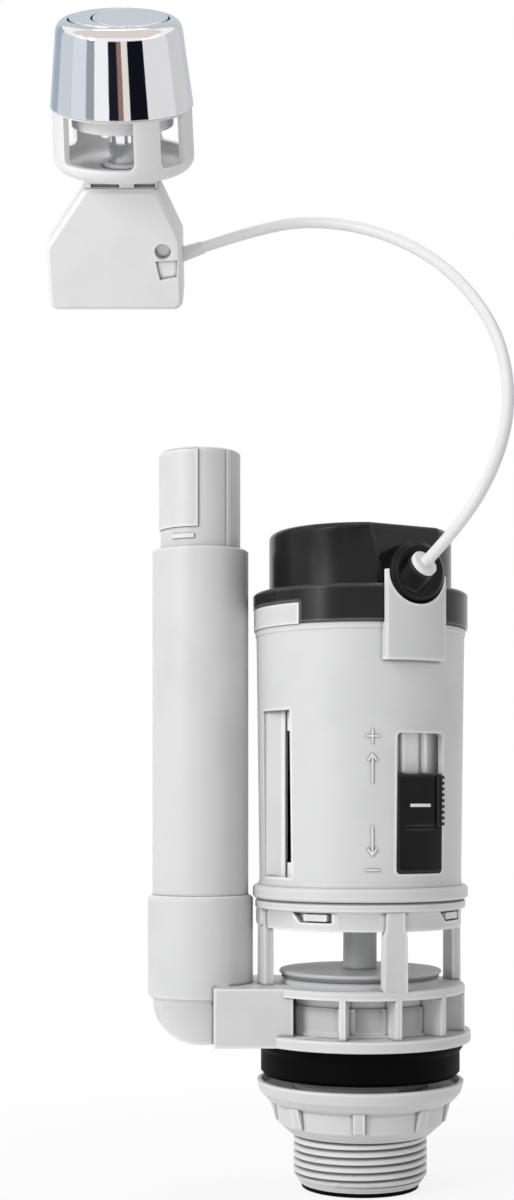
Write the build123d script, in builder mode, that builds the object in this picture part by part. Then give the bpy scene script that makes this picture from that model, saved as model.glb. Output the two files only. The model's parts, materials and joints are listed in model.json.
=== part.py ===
"""Dual flush valve with a cable push button, one solid per moulded or fitted piece.

Frame: the outlet axis is Z, the cistern floor is Z = 0, the overflow stands at -X
and the side that carries the volume slider looks towards -Y. Lengths in mm.
"""
import os
from math import cos, pi, radians, sin, tan

from build123d import *

os.makedirs("parts", exist_ok=True)

# Fits shared by the mating pieces
RUN = 0.10
SLIDE = 0.20
CLEAR = 0.30

# Outlet tail, cistern seal and back nut
TAIL_R = 23.9
BORE_R = 20.0
TAIL_END = -39.0
TAIL_CHAMFER = 2.5
END_RING_H = 1.6
SEAL_H = 12.0
SEAL_R = 35.6
SEAL_LIP_R = 36.6
NUT_TOP = -1.8
NUT_END = NUT_TOP - 19.0
NUT_R = 37.0

# Base: two flanges joined by ribs, seat, pillars and bayonet band
FLANGE_R = 39.5
FLANGE_TOP = 16.0
RING_LOW = 29.6
RING_TOP = 32.7
RING_R = 37.4
SEAT_TOP = 34.8
SEAT_R = 25.0
ARM_HALF = 24.8
RIB_T = 2.2
BAND_R = 36.0
BAND_LOW = 52.9
BAND_TOP = 59.2
LIP_R = 37.6
LIP_TOP = 63.0
BAND_BORE = 33.5
PILLAR_AZ = (16.0, 106.0, 180.0, 286.0)
LUG_AZ = -31.0

# Overflow
OVER_X = -57.3
OUTER_R = 17.2
OUTER_WALL = 1.7
OUTER_BORE = OUTER_R - OUTER_WALL
SOCKET_R = OUTER_R + 1.65
SOCKET_TOP = 64.0
TOE_R = SOCKET_R - 1.9
TOE_LOW = SEAL_H + 0.2
TOE_TOP = 28.2
OUTER_FOOT = 40.0
OUTER_TOP = 187.0
INNER_R = OUTER_BORE - 1.2
INNER_BORE = INNER_R - 1.8
INNER_FOOT = 120.0
INNER_TOP = 222.0

# Valve body and its inner sleeve
BODY_BORE = 34.2
BODY_LOW_R = 36.1
BODY_TOP_R = 37.2
BODY_FLANGE_R = 38.5
BODY_FLANGE_TOP = 67.7
BODY_TOP = 158.5
NECK_R = 35.9
NECK_TOP = BODY_TOP + 10.1
FLOOR_LOW = 58.0
FLOOR_TOP = 60.5
SLEEVE_R = 31.0
SLEEVE_BORE = 29.4
SLEEVE_TOP = 150.0
TONGUE_AZ = 26.4
NOTCH_Z = BODY_TOP + 16.6
NOTCH_R = 10.9

# Volume slider
SLIDER_AZ = 32.3
SLIDER_LOW = 72.9
SLIDER_TOP = 106.7
RAIL_AZ = (24.0, 40.0)
RAIL_W = 1.8
RAIL_R = 32.8

# Stem and floats
STEM_R = 6.0
STEM_NECK_R = 3.5
STEM_HEAD_Z = BODY_TOP + 13.0
DISC_R = 29.0
DISC_TOP = 37.4
FLUSH_SEAL_T = 1.0

# Top cap
CAP_R = 38.4
CAP_LEDGE = BODY_TOP + 12.8
DRUM_R = 32.6
DRUM_TOP = CAP_LEDGE + 21.7
CAP_WALL = 2.2
FACET_AZ = 29.0
FACET_TILT = 5.5
FACET_DEPTH = 29.4
FACET_Z = DRUM_TOP - 2.0

# Lift lever in the cap
LEVER_AZ = 27.0
LEVER_PIVOT_R = -22.0
LEVER_PIVOT_Z = BODY_TOP + 17.5
LEVER_SLOPE = -24.4
PIN_R = 1.5

# Cable
CABLE_D = 4.0
PORT_DIR = Vector(0.53, -0.65, 0.53).normalized()

# Button unit, on its own tilted axis
BEZEL_R = 25.7
SHOULDER_R = 22.5
SHOULDER_H = 24.6
BUTTON_R = 17.4
BUTTON_TOP = 29.4
CAGE_R = 25.6
CAGE_SILL = -17.0
CAGE_LOW = -22.4
CAGE_FLOOR = 1.6
CAGE_WINDOWS = [(-142.0, 64.6), (-55.0, 27.0), (5.0, 55.0), (86.0, 29.0), (141.0, 40.0)]
BOX_TOP = -27.4
BOX_WAIST = BOX_TOP - 21.0
BOX_LOW = BOX_TOP - 44.4
BOX_TOP_U = -1.1
BOX_TOP_W = 26.8
BOX_U = -4.6
BOX_W = 50.4
BOX_D = 20.0
BOX_WALL = 2.0
PLUNGER_R = 5.35
PLUNGER_BORE = 2.6
ROD_R = 2.2
LEVER_U = -14.0
LEVER_W = BOX_TOP - 14.0


def facing(azimuth, height=0.0):
    """Plane on the valve axis that looks outward at an azimuth, counted from -Y towards +X."""
    a = radians(azimuth)
    return Plane(
        origin=(0, 0, height), x_dir=(cos(a), sin(a), 0), z_dir=(sin(a), -cos(a), 0)
    )


def upright(azimuth):
    """Plane through the valve axis: local x is outward at the azimuth and local y is up."""
    a = radians(azimuth)
    return Plane(origin=(0, 0, 0), x_dir=(sin(a), -cos(a), 0), z_dir=(-cos(a), -sin(a), 0))


def rings(part, radius, height):
    """Circular edges of a turned shape at one radius and height."""
    found = part.edges().filter_by(GeomType.CIRCLE)
    return found.filter_by(
        lambda e: abs(e.radius - radius) < 0.01 and abs(e.arc_center.Z - height) < 0.01
    )


# Button axis: leans towards the viewer
BTN_ORIGIN = Vector(-85.5, 0, 347.6)
BTN_U = Vector(1, 0, 0)
BTN_W = Vector(0, -0.557, 0.8305).normalized()
BTN = Plane(origin=BTN_ORIGIN, x_dir=BTN_U, z_dir=BTN_W)
BTN_V = BTN.y_dir
BTN_AXIS = Axis(BTN_ORIGIN, BTN_W)
BTN_FRONT = Plane(origin=BTN_ORIGIN, x_dir=BTN_U, z_dir=BTN_V * -1)


def button_upright(angle):
    """Plane through the button axis: local x is outward at the angle from u, local y is up."""
    a = radians(angle)
    out = BTN_U * cos(a) + BTN_V * sin(a)
    side = BTN_V * cos(a) - BTN_U * sin(a)
    return Plane(origin=BTN_ORIGIN, x_dir=out, z_dir=side * -1)


OVER_AXIS = Axis((OVER_X, 0, 0), (0, 0, 1))

# Toe of the overflow socket: round in plan, with one broad round from its outer wall to its foot
with BuildPart() as socket_toe:
    with BuildSketch(Plane.XY.offset(TOE_LOW)):
        with Locations((OVER_X, 0)):
            Circle(TOE_R)
    extrude(amount=TOE_TOP - TOE_LOW)
    with BuildSketch(Plane.XZ):
        with BuildLine():
            EllipticalCenterArc((OVER_X, TOE_TOP), TOE_R + 0.3, TOE_TOP - TOE_LOW, start_angle=180, arc_size=90)
            Polyline(
                (OVER_X, TOE_LOW),
                (OVER_X + SOCKET_R, TOE_LOW),
                (OVER_X + SOCKET_R, TOE_TOP),
                (OVER_X - TOE_R - 0.3, TOE_TOP),
            )
        make_face()
    extrude(amount=SOCKET_R, both=True, mode=Mode.INTERSECT)

# Valve base: outlet tail, flanges, seat, pillars, bayonet band and overflow elbow
with BuildPart() as valve_base:
    with BuildSketch(Plane.XZ):
        with BuildLine():
            Polyline(
                (BORE_R, TAIL_END),
                (TAIL_R - TAIL_CHAMFER, TAIL_END),
                (TAIL_R, TAIL_END + 1.4 * TAIL_CHAMFER),
                (TAIL_R, SEAL_H),
                (FLANGE_R, SEAL_H),
                (FLANGE_R, FLANGE_TOP),
                (30.0, FLANGE_TOP),
                (30.0, 17.0),
                (29.2, 17.0),
                (29.2, 26.0),
                (28.2, 26.0),
                (28.2, RING_LOW),
                (RING_R, RING_LOW),
                (RING_R, RING_TOP),
                (28.6, RING_TOP),
                (27.6, SEAT_TOP),
                (SEAT_R, SEAT_TOP),
                (SEAT_R, 21.0),
                (BORE_R, 15.0),
                (BORE_R, TAIL_END),
            )
        make_face()
    revolve(axis=Axis.Z)
    fillet(rings(valve_base.part, FLANGE_R, FLANGE_TOP), 0.5)
    fillet(rings(valve_base.part, FLANGE_R, SEAL_H), 0.8)
    fillet(rings(valve_base.part, RING_R, RING_TOP), 1.1)
    # ribs between the two flanges
    with BuildSketch(Plane.XY.offset(FLANGE_TOP - 0.5)):
        with PolarLocations(32.6, 8, start_angle=-102.5, angular_range=240):
            Rectangle(9.6, RIB_T)
    extrude(amount=RING_LOW - FLANGE_TOP + 1.0)
    # bayonet band with its lip
    with BuildSketch(Plane.XZ):
        with BuildLine():
            Polyline(
                (BAND_BORE, BAND_LOW),
                (BAND_R, BAND_LOW),
                (BAND_R, BAND_TOP),
                (LIP_R, BAND_TOP + 0.6),
                (LIP_R, LIP_TOP - 1.0),
                (LIP_R - 1.0, LIP_TOP),
                (BAND_BORE, LIP_TOP),
                (BAND_BORE, BAND_LOW),
            )
        make_face()
    revolve(axis=Axis.Z)
    # bayonet windows in the band
    for k in range(4):
        with BuildSketch(facing(LUG_AZ + 90 * k, 57.5).offset(30)):
            with BuildLine():
                Polyline((-7.6, 1.7), (7.6, 1.7), (7.6, -1.7), (-4.6, -1.7), (-7.6, 1.7))
            make_face()
        extrude(amount=8, mode=Mode.SUBTRACT)
    # pillars from the ring to the band
    for azimuth in PILLAR_AZ:
        with BuildSketch(facing(azimuth).offset(33.7)):
            with BuildLine():
                Polyline(
                    (-4.4, RING_TOP - 1),
                    (4.4, RING_TOP - 1),
                    (4.2, 51.0),
                    (3.4, 54.5),
                    (3.4, BAND_TOP + 0.5),
                    (-3.4, BAND_TOP + 0.5),
                    (-3.4, 54.5),
                    (-4.2, 51.0),
                    (-4.4, RING_TOP - 1),
                )
            make_face()
        extrude(amount=3.3)
    # latch tongue on the band
    with BuildSketch(facing(-76, 56.9).offset(33.8)):
        RectangleRounded(8.6, 6.4, 2.0)
    extrude(amount=3.6)
    # overflow socket on its toe
    with BuildSketch(Plane.XZ):
        with BuildLine():
            Polyline(
                (OVER_X, TOE_TOP - 2.6),
                (OVER_X + SOCKET_R - 3.4, TOE_TOP - 2.6),
                (OVER_X + SOCKET_R, TOE_TOP),
                (OVER_X + SOCKET_R, SOCKET_TOP - 1.2),
                (OVER_X + SOCKET_R - 1.2, SOCKET_TOP),
                (OVER_X, SOCKET_TOP),
                (OVER_X, TOE_TOP - 2.6),
            )
        make_face()
    revolve(axis=OVER_AXIS)
    add(socket_toe.part)
    # arm that carries the overflow water to the outlet
    with BuildSketch(Plane.XY.offset(SEAL_H)):
        with BuildLine():
            FilletPolyline(
                (-24.5, -ARM_HALF),
                (-52.0, -ARM_HALF),
                (-52.0, ARM_HALF),
                (-24.5, ARM_HALF),
                radius=0.8,
            )
            Line((-24.5, ARM_HALF), (-24.5, -ARM_HALF))
        make_face()
    extrude(amount=RING_TOP - SEAL_H - 0.12)
    # hollows in the underside of the arm, beside the duct
    with BuildSketch(Plane.XY.offset(SEAL_H)):
        with Locations((-42.4, ARM_HALF - 6.4), (-42.4, 6.4 - ARM_HALF)):
            Rectangle(13.6, 8.0)
    extrude(amount=17.4, mode=Mode.SUBTRACT)
    # socket bore, step that carries the outer tube, and the duct
    with BuildSketch(Plane.XZ):
        with BuildLine():
            Polyline(
                (OVER_X, 17.0),
                (OVER_X + OUTER_BORE - 5.5, 17.0),
                (OVER_X + OUTER_BORE - 0.5, 23.0),
                (OVER_X + OUTER_BORE - 0.5, OUTER_FOOT),
                (OVER_X + OUTER_R + 0.05, OUTER_FOOT),
                (OVER_X + OUTER_R + 0.05, SOCKET_TOP + 1),
                (OVER_X, SOCKET_TOP + 1),
                (OVER_X, 17.0),
            )
        make_face()
    revolve(axis=OVER_AXIS, mode=Mode.SUBTRACT)
    with BuildSketch(Plane.YZ.offset(OVER_X)):
        with BuildLine():
            Polyline((-9, 17.5), (9, 17.5), (12, 20.5), (12, 28.5), (-12, 28.5), (-12, 20.5), (-9, 17.5))
        make_face()
    extrude(amount=OVER_X * -1 - 20.0, mode=Mode.SUBTRACT)
    # the bowl under the seat stays open above the duct
    with BuildSketch(Plane.XY.offset(21.0)):
        Circle(SEAT_R)
    extrude(amount=SEAT_TOP - 21.0 + 1, mode=Mode.SUBTRACT)
    # room for the stem and the sealing disc above the seat
    with BuildSketch(Plane.XY.offset(SEAT_TOP)):
        Circle(BAND_BORE - 0.6)
    extrude(amount=LIP_TOP - SEAT_TOP + 2, mode=Mode.SUBTRACT)

# Black rubber ring at the end of the tail
with BuildPart() as outlet_ring:
    with BuildSketch(Plane.XY.offset(TAIL_END)):
        Circle(TAIL_R - TAIL_CHAMFER - 0.4)
        Circle(BORE_R, mode=Mode.SUBTRACT)
    extrude(amount=-END_RING_H)
    fillet(rings(outlet_ring.part, TAIL_R - TAIL_CHAMFER - 0.4, TAIL_END - END_RING_H), 0.4)

# Cistern seal
with BuildPart() as cistern_seal:
    with BuildSketch(Plane.XZ):
        with BuildLine():
            Polyline(
                (TAIL_R + 0.05, 0),
                (SEAL_R - 1.4, 0),
                (SEAL_R, 1.4),
                (SEAL_R, SEAL_H - 3.4),
                (SEAL_LIP_R, SEAL_H - 2.0),
                (SEAL_LIP_R + 0.4, SEAL_H),
                (TAIL_R + 0.05, SEAL_H),
                (TAIL_R + 0.05, 0),
            )
        make_face()
    revolve(axis=Axis.Z)

# Back nut: dished flange and eight grip ribs
with BuildPart() as back_nut:
    with BuildSketch(Plane.XZ):
        with BuildLine():
            Polyline(
                (TAIL_R + SLIDE, NUT_END),
                (TAIL_R + 1.5, NUT_END),
                (29.4, NUT_TOP - 15.4),
                (30.2, NUT_TOP - 8.6),
                (33.4, NUT_TOP - 7.0),
                (36.0, NUT_TOP - 4.2),
                (NUT_R, NUT_TOP - 0.4),
                (NUT_R - 0.5, NUT_TOP),
                (NUT_R - 1.6, NUT_TOP),
                (34.4, NUT_TOP - 2.2),
                (27.0, NUT_TOP - 3.0),
                (TAIL_R + SLIDE, NUT_TOP - 3.0),
                (TAIL_R + SLIDE, NUT_END),
            )
        make_face()
    revolve(axis=Axis.Z)
    for k in range(8):
        with BuildSketch(upright(-4 + 45 * k)):
            with BuildLine():
                Polyline(
                    (26.4, NUT_TOP - 17.4),
                    (30.4, NUT_TOP - 14.8),
                    (32.2, NUT_TOP - 8.2),
                    (32.2, NUT_TOP - 6.8),
                    (27.5, NUT_TOP - 6.8),
                    (26.4, NUT_TOP - 17.4),
                )
            make_face()
        extrude(amount=2.1, both=True)

# Overflow outer tube
with BuildPart() as overflow_outer_tube:
    with BuildSketch(Plane.XZ):
        with BuildLine():
            Polyline(
                (OVER_X + OUTER_BORE, OUTER_FOOT),
                (OVER_X + OUTER_R, OUTER_FOOT),
                (OVER_X + OUTER_R, OUTER_TOP - 0.5),
                (OVER_X + OUTER_R - 0.5, OUTER_TOP),
                (OVER_X + OUTER_BORE, OUTER_TOP),
                (OVER_X + OUTER_BORE, OUTER_FOOT),
            )
        make_face()
    revolve(axis=OVER_AXIS)

# Overflow inner tube: raised panel, key rib, snap bump and a guiding foot
with BuildPart() as overflow_inner_tube:
    with BuildSketch(Plane.XZ):
        with BuildLine():
            Polyline(
                (OVER_X + INNER_BORE, INNER_FOOT),
                (OVER_X + OUTER_BORE - RUN, INNER_FOOT),
                (OVER_X + OUTER_BORE - RUN, INNER_FOOT + 1.8),
                (OVER_X + INNER_R - 0.6, INNER_FOOT + 1.8),
                (OVER_X + INNER_R - 0.6, INNER_FOOT + 3.6),
                (OVER_X + OUTER_BORE - RUN, INNER_FOOT + 3.6),
                (OVER_X + OUTER_BORE - RUN, INNER_FOOT + 6.0),
                (OVER_X + INNER_R, INNER_FOOT + 7.4),
                (OVER_X + INNER_R, INNER_TOP - 0.4),
                (OVER_X + INNER_R - 0.4, INNER_TOP),
                (OVER_X + INNER_BORE, INNER_TOP),
                (OVER_X + INNER_BORE, INNER_FOOT),
            )
        make_face()
    revolve(axis=OVER_AXIS)
    panel_plane = Plane(
        origin=(OVER_X, 0, 194.0),
        x_dir=(cos(radians(-132.5)), sin(radians(-132.5)), 0),
        z_dir=(0, 0, 1),
    )
    with BuildSketch(panel_plane):
        with BuildLine():
            Polyline((0, 0), (18, -15.6), (18, 15.6), (0, 0))
        make_face()
        with BuildLine():
            CenterArc((0, 0), INNER_R + 0.6, 0, 360)
        make_face(mode=Mode.INTERSECT)
        Circle(INNER_R - 0.5, mode=Mode.SUBTRACT)
    extrude(amount=INNER_TOP - 194.8)
    key_plane = Plane(
        origin=(OVER_X, 0, INNER_FOOT + 6),
        x_dir=(cos(radians(-46)), sin(radians(-46)), 0),
        z_dir=(0, 0, 1),
    )
    with BuildSketch(key_plane):
        with Locations((INNER_R, 0)):
            Rectangle(1.5, 1.6)
    extrude(amount=INNER_TOP - INNER_FOOT - 6.6)
    snap_plane = Plane(
        origin=(OVER_X, 0, 190.0),
        x_dir=(cos(radians(-114)), sin(radians(-114)), 0),
        z_dir=(0, 0, 1),
    )
    with BuildSketch(snap_plane):
        with BuildLine():
            CenterArc((0, 0), INNER_R + 0.5, -17, 34)
            CenterArc((0, 0), INNER_R - 0.5, -17, 34)
            Line(
                ((INNER_R - 0.5) * cos(radians(17)), (INNER_R - 0.5) * sin(radians(17))),
                ((INNER_R + 0.5) * cos(radians(17)), (INNER_R + 0.5) * sin(radians(17))),
            )
            Line(
                ((INNER_R - 0.5) * cos(radians(17)), -(INNER_R - 0.5) * sin(radians(17))),
                ((INNER_R + 0.5) * cos(radians(17)), -(INNER_R + 0.5) * sin(radians(17))),
            )
        make_face()
    extrude(amount=1.6)

# O-ring in the groove of the foot
with BuildPart() as overflow_o_ring:
    with BuildSketch(Plane.XZ):
        with BuildLine():
            Polyline(
                (OVER_X + INNER_R - 0.55, INNER_FOOT + 1.85),
                (OVER_X + OUTER_BORE - 0.05, INNER_FOOT + 1.85),
                (OVER_X + OUTER_BORE - 0.05, INNER_FOOT + 3.55),
                (OVER_X + INNER_R - 0.55, INNER_FOOT + 3.55),
                (OVER_X + INNER_R - 0.55, INNER_FOOT + 1.85),
            )
        make_face()
    revolve(axis=OVER_AXIS)

# Tongue blank: a curved plate that hugs the cap ring, cut to a U
with BuildPart() as tongue_blank:
    with BuildSketch(facing(TONGUE_AZ, 0).offset(30)):
        with BuildLine():
            Polyline(
                (-11.6, BODY_TOP - 13.2),
                (11.6, BODY_TOP - 13.2),
                (11.6, BODY_TOP + 15.8),
                (-11.6, BODY_TOP + 17.3),
                (-11.6, BODY_TOP - 13.2),
            )
        make_face()
        with Locations((0, NOTCH_Z)):
            Circle(NOTCH_R, mode=Mode.SUBTRACT)
    extrude(amount=14)
    with BuildSketch(Plane.XY.offset(BODY_TOP - 18)):
        Circle(CAP_R + CLEAR + 2.0)
        Circle(CAP_R + CLEAR, mode=Mode.SUBTRACT)
    extrude(amount=40, mode=Mode.INTERSECT)
with BuildPart() as tongue_pad:
    with BuildSketch(facing(TONGUE_AZ, 0).offset(30)):
        with BuildLine():
            Polyline(
                (-11.6, BODY_TOP - 13.2),
                (11.6, BODY_TOP - 13.2),
                (11.6, BODY_TOP - 0.5),
                (-11.6, BODY_TOP - 0.5),
                (-11.6, BODY_TOP - 13.2),
            )
        make_face()
    extrude(amount=14)
    with BuildSketch(Plane.XY.offset(BODY_TOP - 18)):
        Circle(CAP_R + CLEAR + 1.0)
        Circle(BODY_BORE + 1.2, mode=Mode.SUBTRACT)
    extrude(amount=40, mode=Mode.INTERSECT)

# Valve body: flange, tapered wall with two windows, floor, neck and tongue
with BuildPart() as valve_body:
    with BuildSketch(Plane.XZ):
        with BuildLine():
            Polyline(
                (BODY_BORE - 3.2, 53.6),
                (BAND_BORE - CLEAR, 53.6),
                (BAND_BORE - CLEAR, LIP_TOP),
                (BODY_FLANGE_R - 0.8, LIP_TOP),
                (BODY_FLANGE_R, LIP_TOP + 0.8),
                (BODY_FLANGE_R, BODY_FLANGE_TOP - 0.8),
                (BODY_FLANGE_R - 0.8, BODY_FLANGE_TOP),
                (BODY_LOW_R + 0.6, BODY_FLANGE_TOP),
                (BODY_LOW_R, BODY_FLANGE_TOP + 1.6),
                (BODY_TOP_R, BODY_TOP - 2.5),
                (BODY_TOP_R + 0.35, BODY_TOP - 2.2),
                (BODY_TOP_R + 0.35, BODY_TOP - 0.2),
                (BODY_TOP_R + 0.15, BODY_TOP),
                (NECK_R, BODY_TOP),
                (NECK_R, NECK_TOP),
                (BODY_BORE, NECK_TOP),
                (BODY_BORE, FLOOR_TOP + 6.0),
                (BODY_BORE - 3.2, FLOOR_TOP + 1.5),
                (BODY_BORE - 3.2, FLOOR_TOP),
                (STEM_R + CLEAR, FLOOR_TOP),
                (STEM_R + CLEAR, FLOOR_LOW),
                (BODY_BORE - 3.2, FLOOR_LOW),
                (BODY_BORE - 3.2, 53.6),
            )
        make_face()
    revolve(axis=Axis.Z)
    # bayonet lugs that stand in the band's windows
    for k in range(4):
        with BuildSketch(facing(LUG_AZ + 90 * k, 57.5).offset(32)):
            with Locations((1.2, 0)):
                Rectangle(9.0, 2.4)
        extrude(amount=3.4)
    # drain holes in the floor
    with BuildSketch(Plane.XY.offset(FLOOR_LOW - 1)):
        with PolarLocations(19.0, 6, start_angle=30):
            Circle(5.0)
    extrude(amount=5, mode=Mode.SUBTRACT)
    # water window at the left and slider window at the right
    with BuildSketch(facing(-57.5, 100.0).offset(20)):
        Rectangle(16.6, 58.0)
    extrude(amount=25, mode=Mode.SUBTRACT)
    # slanting cheek at the far side of the water window, and its head
    with BuildSketch(Plane(origin=(0, 0, 69.8), x_dir=facing(-57.5).x_dir, z_dir=(0, 0, 1))):
        with BuildLine():
            Polyline(
                (-9.9, -34.6),
                (-8.6, -35.1),
                (-0.6, -SLEEVE_R - 0.9),
                (-0.6, -SLEEVE_R - 0.4),
                (-3.0, -SLEEVE_R - 0.4),
                (-9.9, -32.5),
                (-9.9, -34.6),
            )
        make_face()
    extrude(amount=60.4)
    with BuildSketch(facing(-57.5, 130.0).offset(SLEEVE_R + 0.4)):
        with Locations((-1.2, 0)):
            Rectangle(16.0, 1.6)
    extrude(amount=3.6)
    with BuildSketch(facing(SLIDER_AZ, 96.65).offset(20)):
        RectangleRounded(19.4, 48.1, 1.4)
    extrude(amount=25, mode=Mode.SUBTRACT)
    # tab that shows under the cut skirt of the cap
    with BuildSketch(Plane.XY.offset(BODY_TOP - 0.4)):
        with BuildLine():
            CenterArc((0, 0), CAP_R - 0.3, -239.4, 112.8)
            CenterArc((0, 0), NECK_R - 0.4, -239.4, 112.8)
            Line(
                (
                    (CAP_R - 0.3) * cos(radians(-239.4)),
                    (CAP_R - 0.3) * sin(radians(-239.4)),
                ),
                (
                    (NECK_R - 0.4) * cos(radians(-239.4)),
                    (NECK_R - 0.4) * sin(radians(-239.4)),
                ),
            )
            Line(
                (
                    (CAP_R - 0.3) * cos(radians(-126.6)),
                    (CAP_R - 0.3) * sin(radians(-126.6)),
                ),
                (
                    (NECK_R - 0.4) * cos(radians(-126.6)),
                    (NECK_R - 0.4) * sin(radians(-126.6)),
                ),
            )
        make_face()
    extrude(amount=7.4)
    add(tongue_pad.part)
    add(tongue_blank.part)

# Inner sleeve with the two rails behind the slider window
with BuildPart() as inner_sleeve:
    with BuildSketch(Plane.XZ):
        with BuildLine():
            Polyline(
                (SLEEVE_BORE, FLOOR_TOP),
                (SLEEVE_R - 0.4, FLOOR_TOP),
                (SLEEVE_R - 0.4, FLOOR_TOP + 2.5),
                (SLEEVE_R, FLOOR_TOP + 3.0),
                (SLEEVE_R, SLEEVE_TOP),
                (SLEEVE_BORE, SLEEVE_TOP),
                (SLEEVE_BORE, 126.0),
                (SLEEVE_BORE - 2.6, 126.0),
                (SLEEVE_BORE - 2.6, 124.6),
                (SLEEVE_BORE, 123.0),
                (SLEEVE_BORE, FLOOR_TOP),
            )
        make_face()
    revolve(axis=Axis.Z)
    for azimuth in RAIL_AZ:
        with BuildSketch(facing(azimuth, 128.0).offset(SLEEVE_R - 0.6)):
            Rectangle(RAIL_W, 42.0)
        extrude(amount=RAIL_R - SLEEVE_R + 0.6)
    # slot behind the water window
    with BuildSketch(facing(-57.0, 99.0).offset(20)):
        Rectangle(6.0, 46.0)
    extrude(amount=15, mode=Mode.SUBTRACT)

# Volume slider: face plate in the window, wings behind the wall, a toothed grip
with BuildPart() as slider_face:
    with BuildSketch(Plane.XY.offset(SLIDER_LOW)):
        Circle(36.4)
        Circle(SLEEVE_R + CLEAR, mode=Mode.SUBTRACT)
    extrude(amount=SLIDER_TOP - SLIDER_LOW)
    with BuildSketch(facing(SLIDER_AZ, (SLIDER_LOW + SLIDER_TOP) / 2).offset(20)):
        RectangleRounded(19.0, SLIDER_TOP - SLIDER_LOW - 0.02, 1.2)
    extrude(amount=20, mode=Mode.INTERSECT)
with BuildPart() as slider_wings:
    with BuildSketch(Plane.XY.offset(SLIDER_LOW)):
        Circle(BODY_BORE - SLIDE)
        Circle(SLEEVE_R + CLEAR, mode=Mode.SUBTRACT)
    extrude(amount=32.0)
    with BuildSketch(facing(SLIDER_AZ, SLIDER_LOW + 16).offset(20)):
        Rectangle(24.0, 30.0)
    extrude(amount=20, mode=Mode.INTERSECT)
with BuildPart() as volume_slider:
    add(slider_face.part)
    add(slider_wings.part)
    # grip ridge with its row of teeth
    with BuildSketch(facing(SLIDER_AZ, 97.0).offset(34.2)):
        with Locations((7.4, 0)):
            RectangleRounded(1.8, 18.0, 0.8)
    extrude(amount=2.2)
    with BuildSketch(facing(SLIDER_AZ, 97.6).offset(34.2)):
        with GridLocations(0, 2.0, 1, 9):
            with Locations((8.8, 0)):
                Rectangle(1.4, 1.1)
    extrude(amount=2.5)
    # pointer bar and the joint line of the face plate
    with BuildSketch(facing(SLIDER_AZ, 96.0).offset(34.8)):
        with Locations((-1.0, 0)):
            RectangleRounded(9.6, 1.3, 0.5)
    extrude(amount=2.0)
    with BuildSketch(facing(SLIDER_AZ, 88.4).offset(35.6)):
        Rectangle(22.0, 0.6)
    extrude(amount=3.0, mode=Mode.SUBTRACT)
    # grooves that run on the sleeve's rails
    for azimuth in RAIL_AZ:
        with BuildSketch(facing(azimuth, 90.0).offset(28)):
            Rectangle(RAIL_W + 2 * CLEAR, 60.0)
        extrude(amount=RAIL_R + CLEAR - 28, mode=Mode.SUBTRACT)

# Stem with its lifting head
with BuildPart() as lift_stem:
    with BuildSketch(Plane.XZ):
        with BuildLine():
            Polyline(
                (0, 32.0),
                (4.0, 32.0),
                (4.0, DISC_TOP),
                (STEM_R, DISC_TOP),
                (STEM_R, BODY_TOP - 2.5),
                (STEM_NECK_R, BODY_TOP),
                (STEM_NECK_R, STEM_HEAD_Z),
                (7.0, STEM_HEAD_Z),
                (7.0, STEM_HEAD_Z + 1.6),
                (5.6, STEM_HEAD_Z + 2.6),
                (0, STEM_HEAD_Z + 2.6),
                (0, 32.0),
            )
        make_face()
    revolve(axis=Axis.Z)

# Disc that carries the flush seal
with BuildPart() as seal_disc:
    with BuildSketch(Plane.XZ):
        with BuildLine():
            Polyline(
                (4.0, SEAT_TOP + FLUSH_SEAL_T),
                (DISC_R - 0.6, SEAT_TOP + FLUSH_SEAL_T),
                (DISC_R, SEAT_TOP + FLUSH_SEAL_T + 0.6),
                (DISC_R, DISC_TOP - 0.4),
                (DISC_R - 0.4, DISC_TOP),
                (4.0, DISC_TOP),
                (4.0, SEAT_TOP + FLUSH_SEAL_T),
            )
        make_face()
    revolve(axis=Axis.Z)

# Flush seal, flat on the seat
with BuildPart() as flush_seal:
    with BuildSketch(Plane.XY.offset(SEAT_TOP)):
        Circle(DISC_R - 0.8)
        Circle(4.0, mode=Mode.SUBTRACT)
    extrude(amount=FLUSH_SEAL_T)

# Retainer under the seal
with BuildPart() as seal_retainer:
    with BuildSketch(Plane.XZ):
        with BuildLine():
            Polyline(
                (4.0, 32.0),
                (8.0, 32.0),
                (8.0, 33.2),
                (21.0, 33.2),
                (22.0, SEAT_TOP),
                (4.0, SEAT_TOP),
                (4.0, 32.0),
            )
        make_face()
    revolve(axis=Axis.Z)

# Full flush float, a cup pressed on the stem
with BuildPart() as full_float:
    with BuildSketch(Plane.XZ):
        with BuildLine():
            Polyline(
                (STEM_R, 70.0),
                (9.0, 70.0),
                (9.0, 106.0),
                (27.0, 106.0),
                (27.0, 70.0),
                (28.6, 70.0),
                (28.6, 107.0),
                (27.6, 108.0),
                (STEM_R, 108.0),
                (STEM_R, 70.0),
            )
        make_face()
    revolve(axis=Axis.Z)

# Half flush float, a loose cup on the sleeve's ledge
with BuildPart() as half_float:
    with BuildSketch(Plane.XZ):
        with BuildLine():
            Polyline(
                (9.0, 126.0),
                (10.5, 126.0),
                (10.5, 138.0),
                (26.4, 138.0),
                (26.4, 126.0),
                (28.6, 126.0),
                (28.6, 139.0),
                (27.6, 140.0),
                (9.0, 140.0),
                (9.0, 126.0),
            )
        make_face()
    revolve(axis=Axis.Z)

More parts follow.
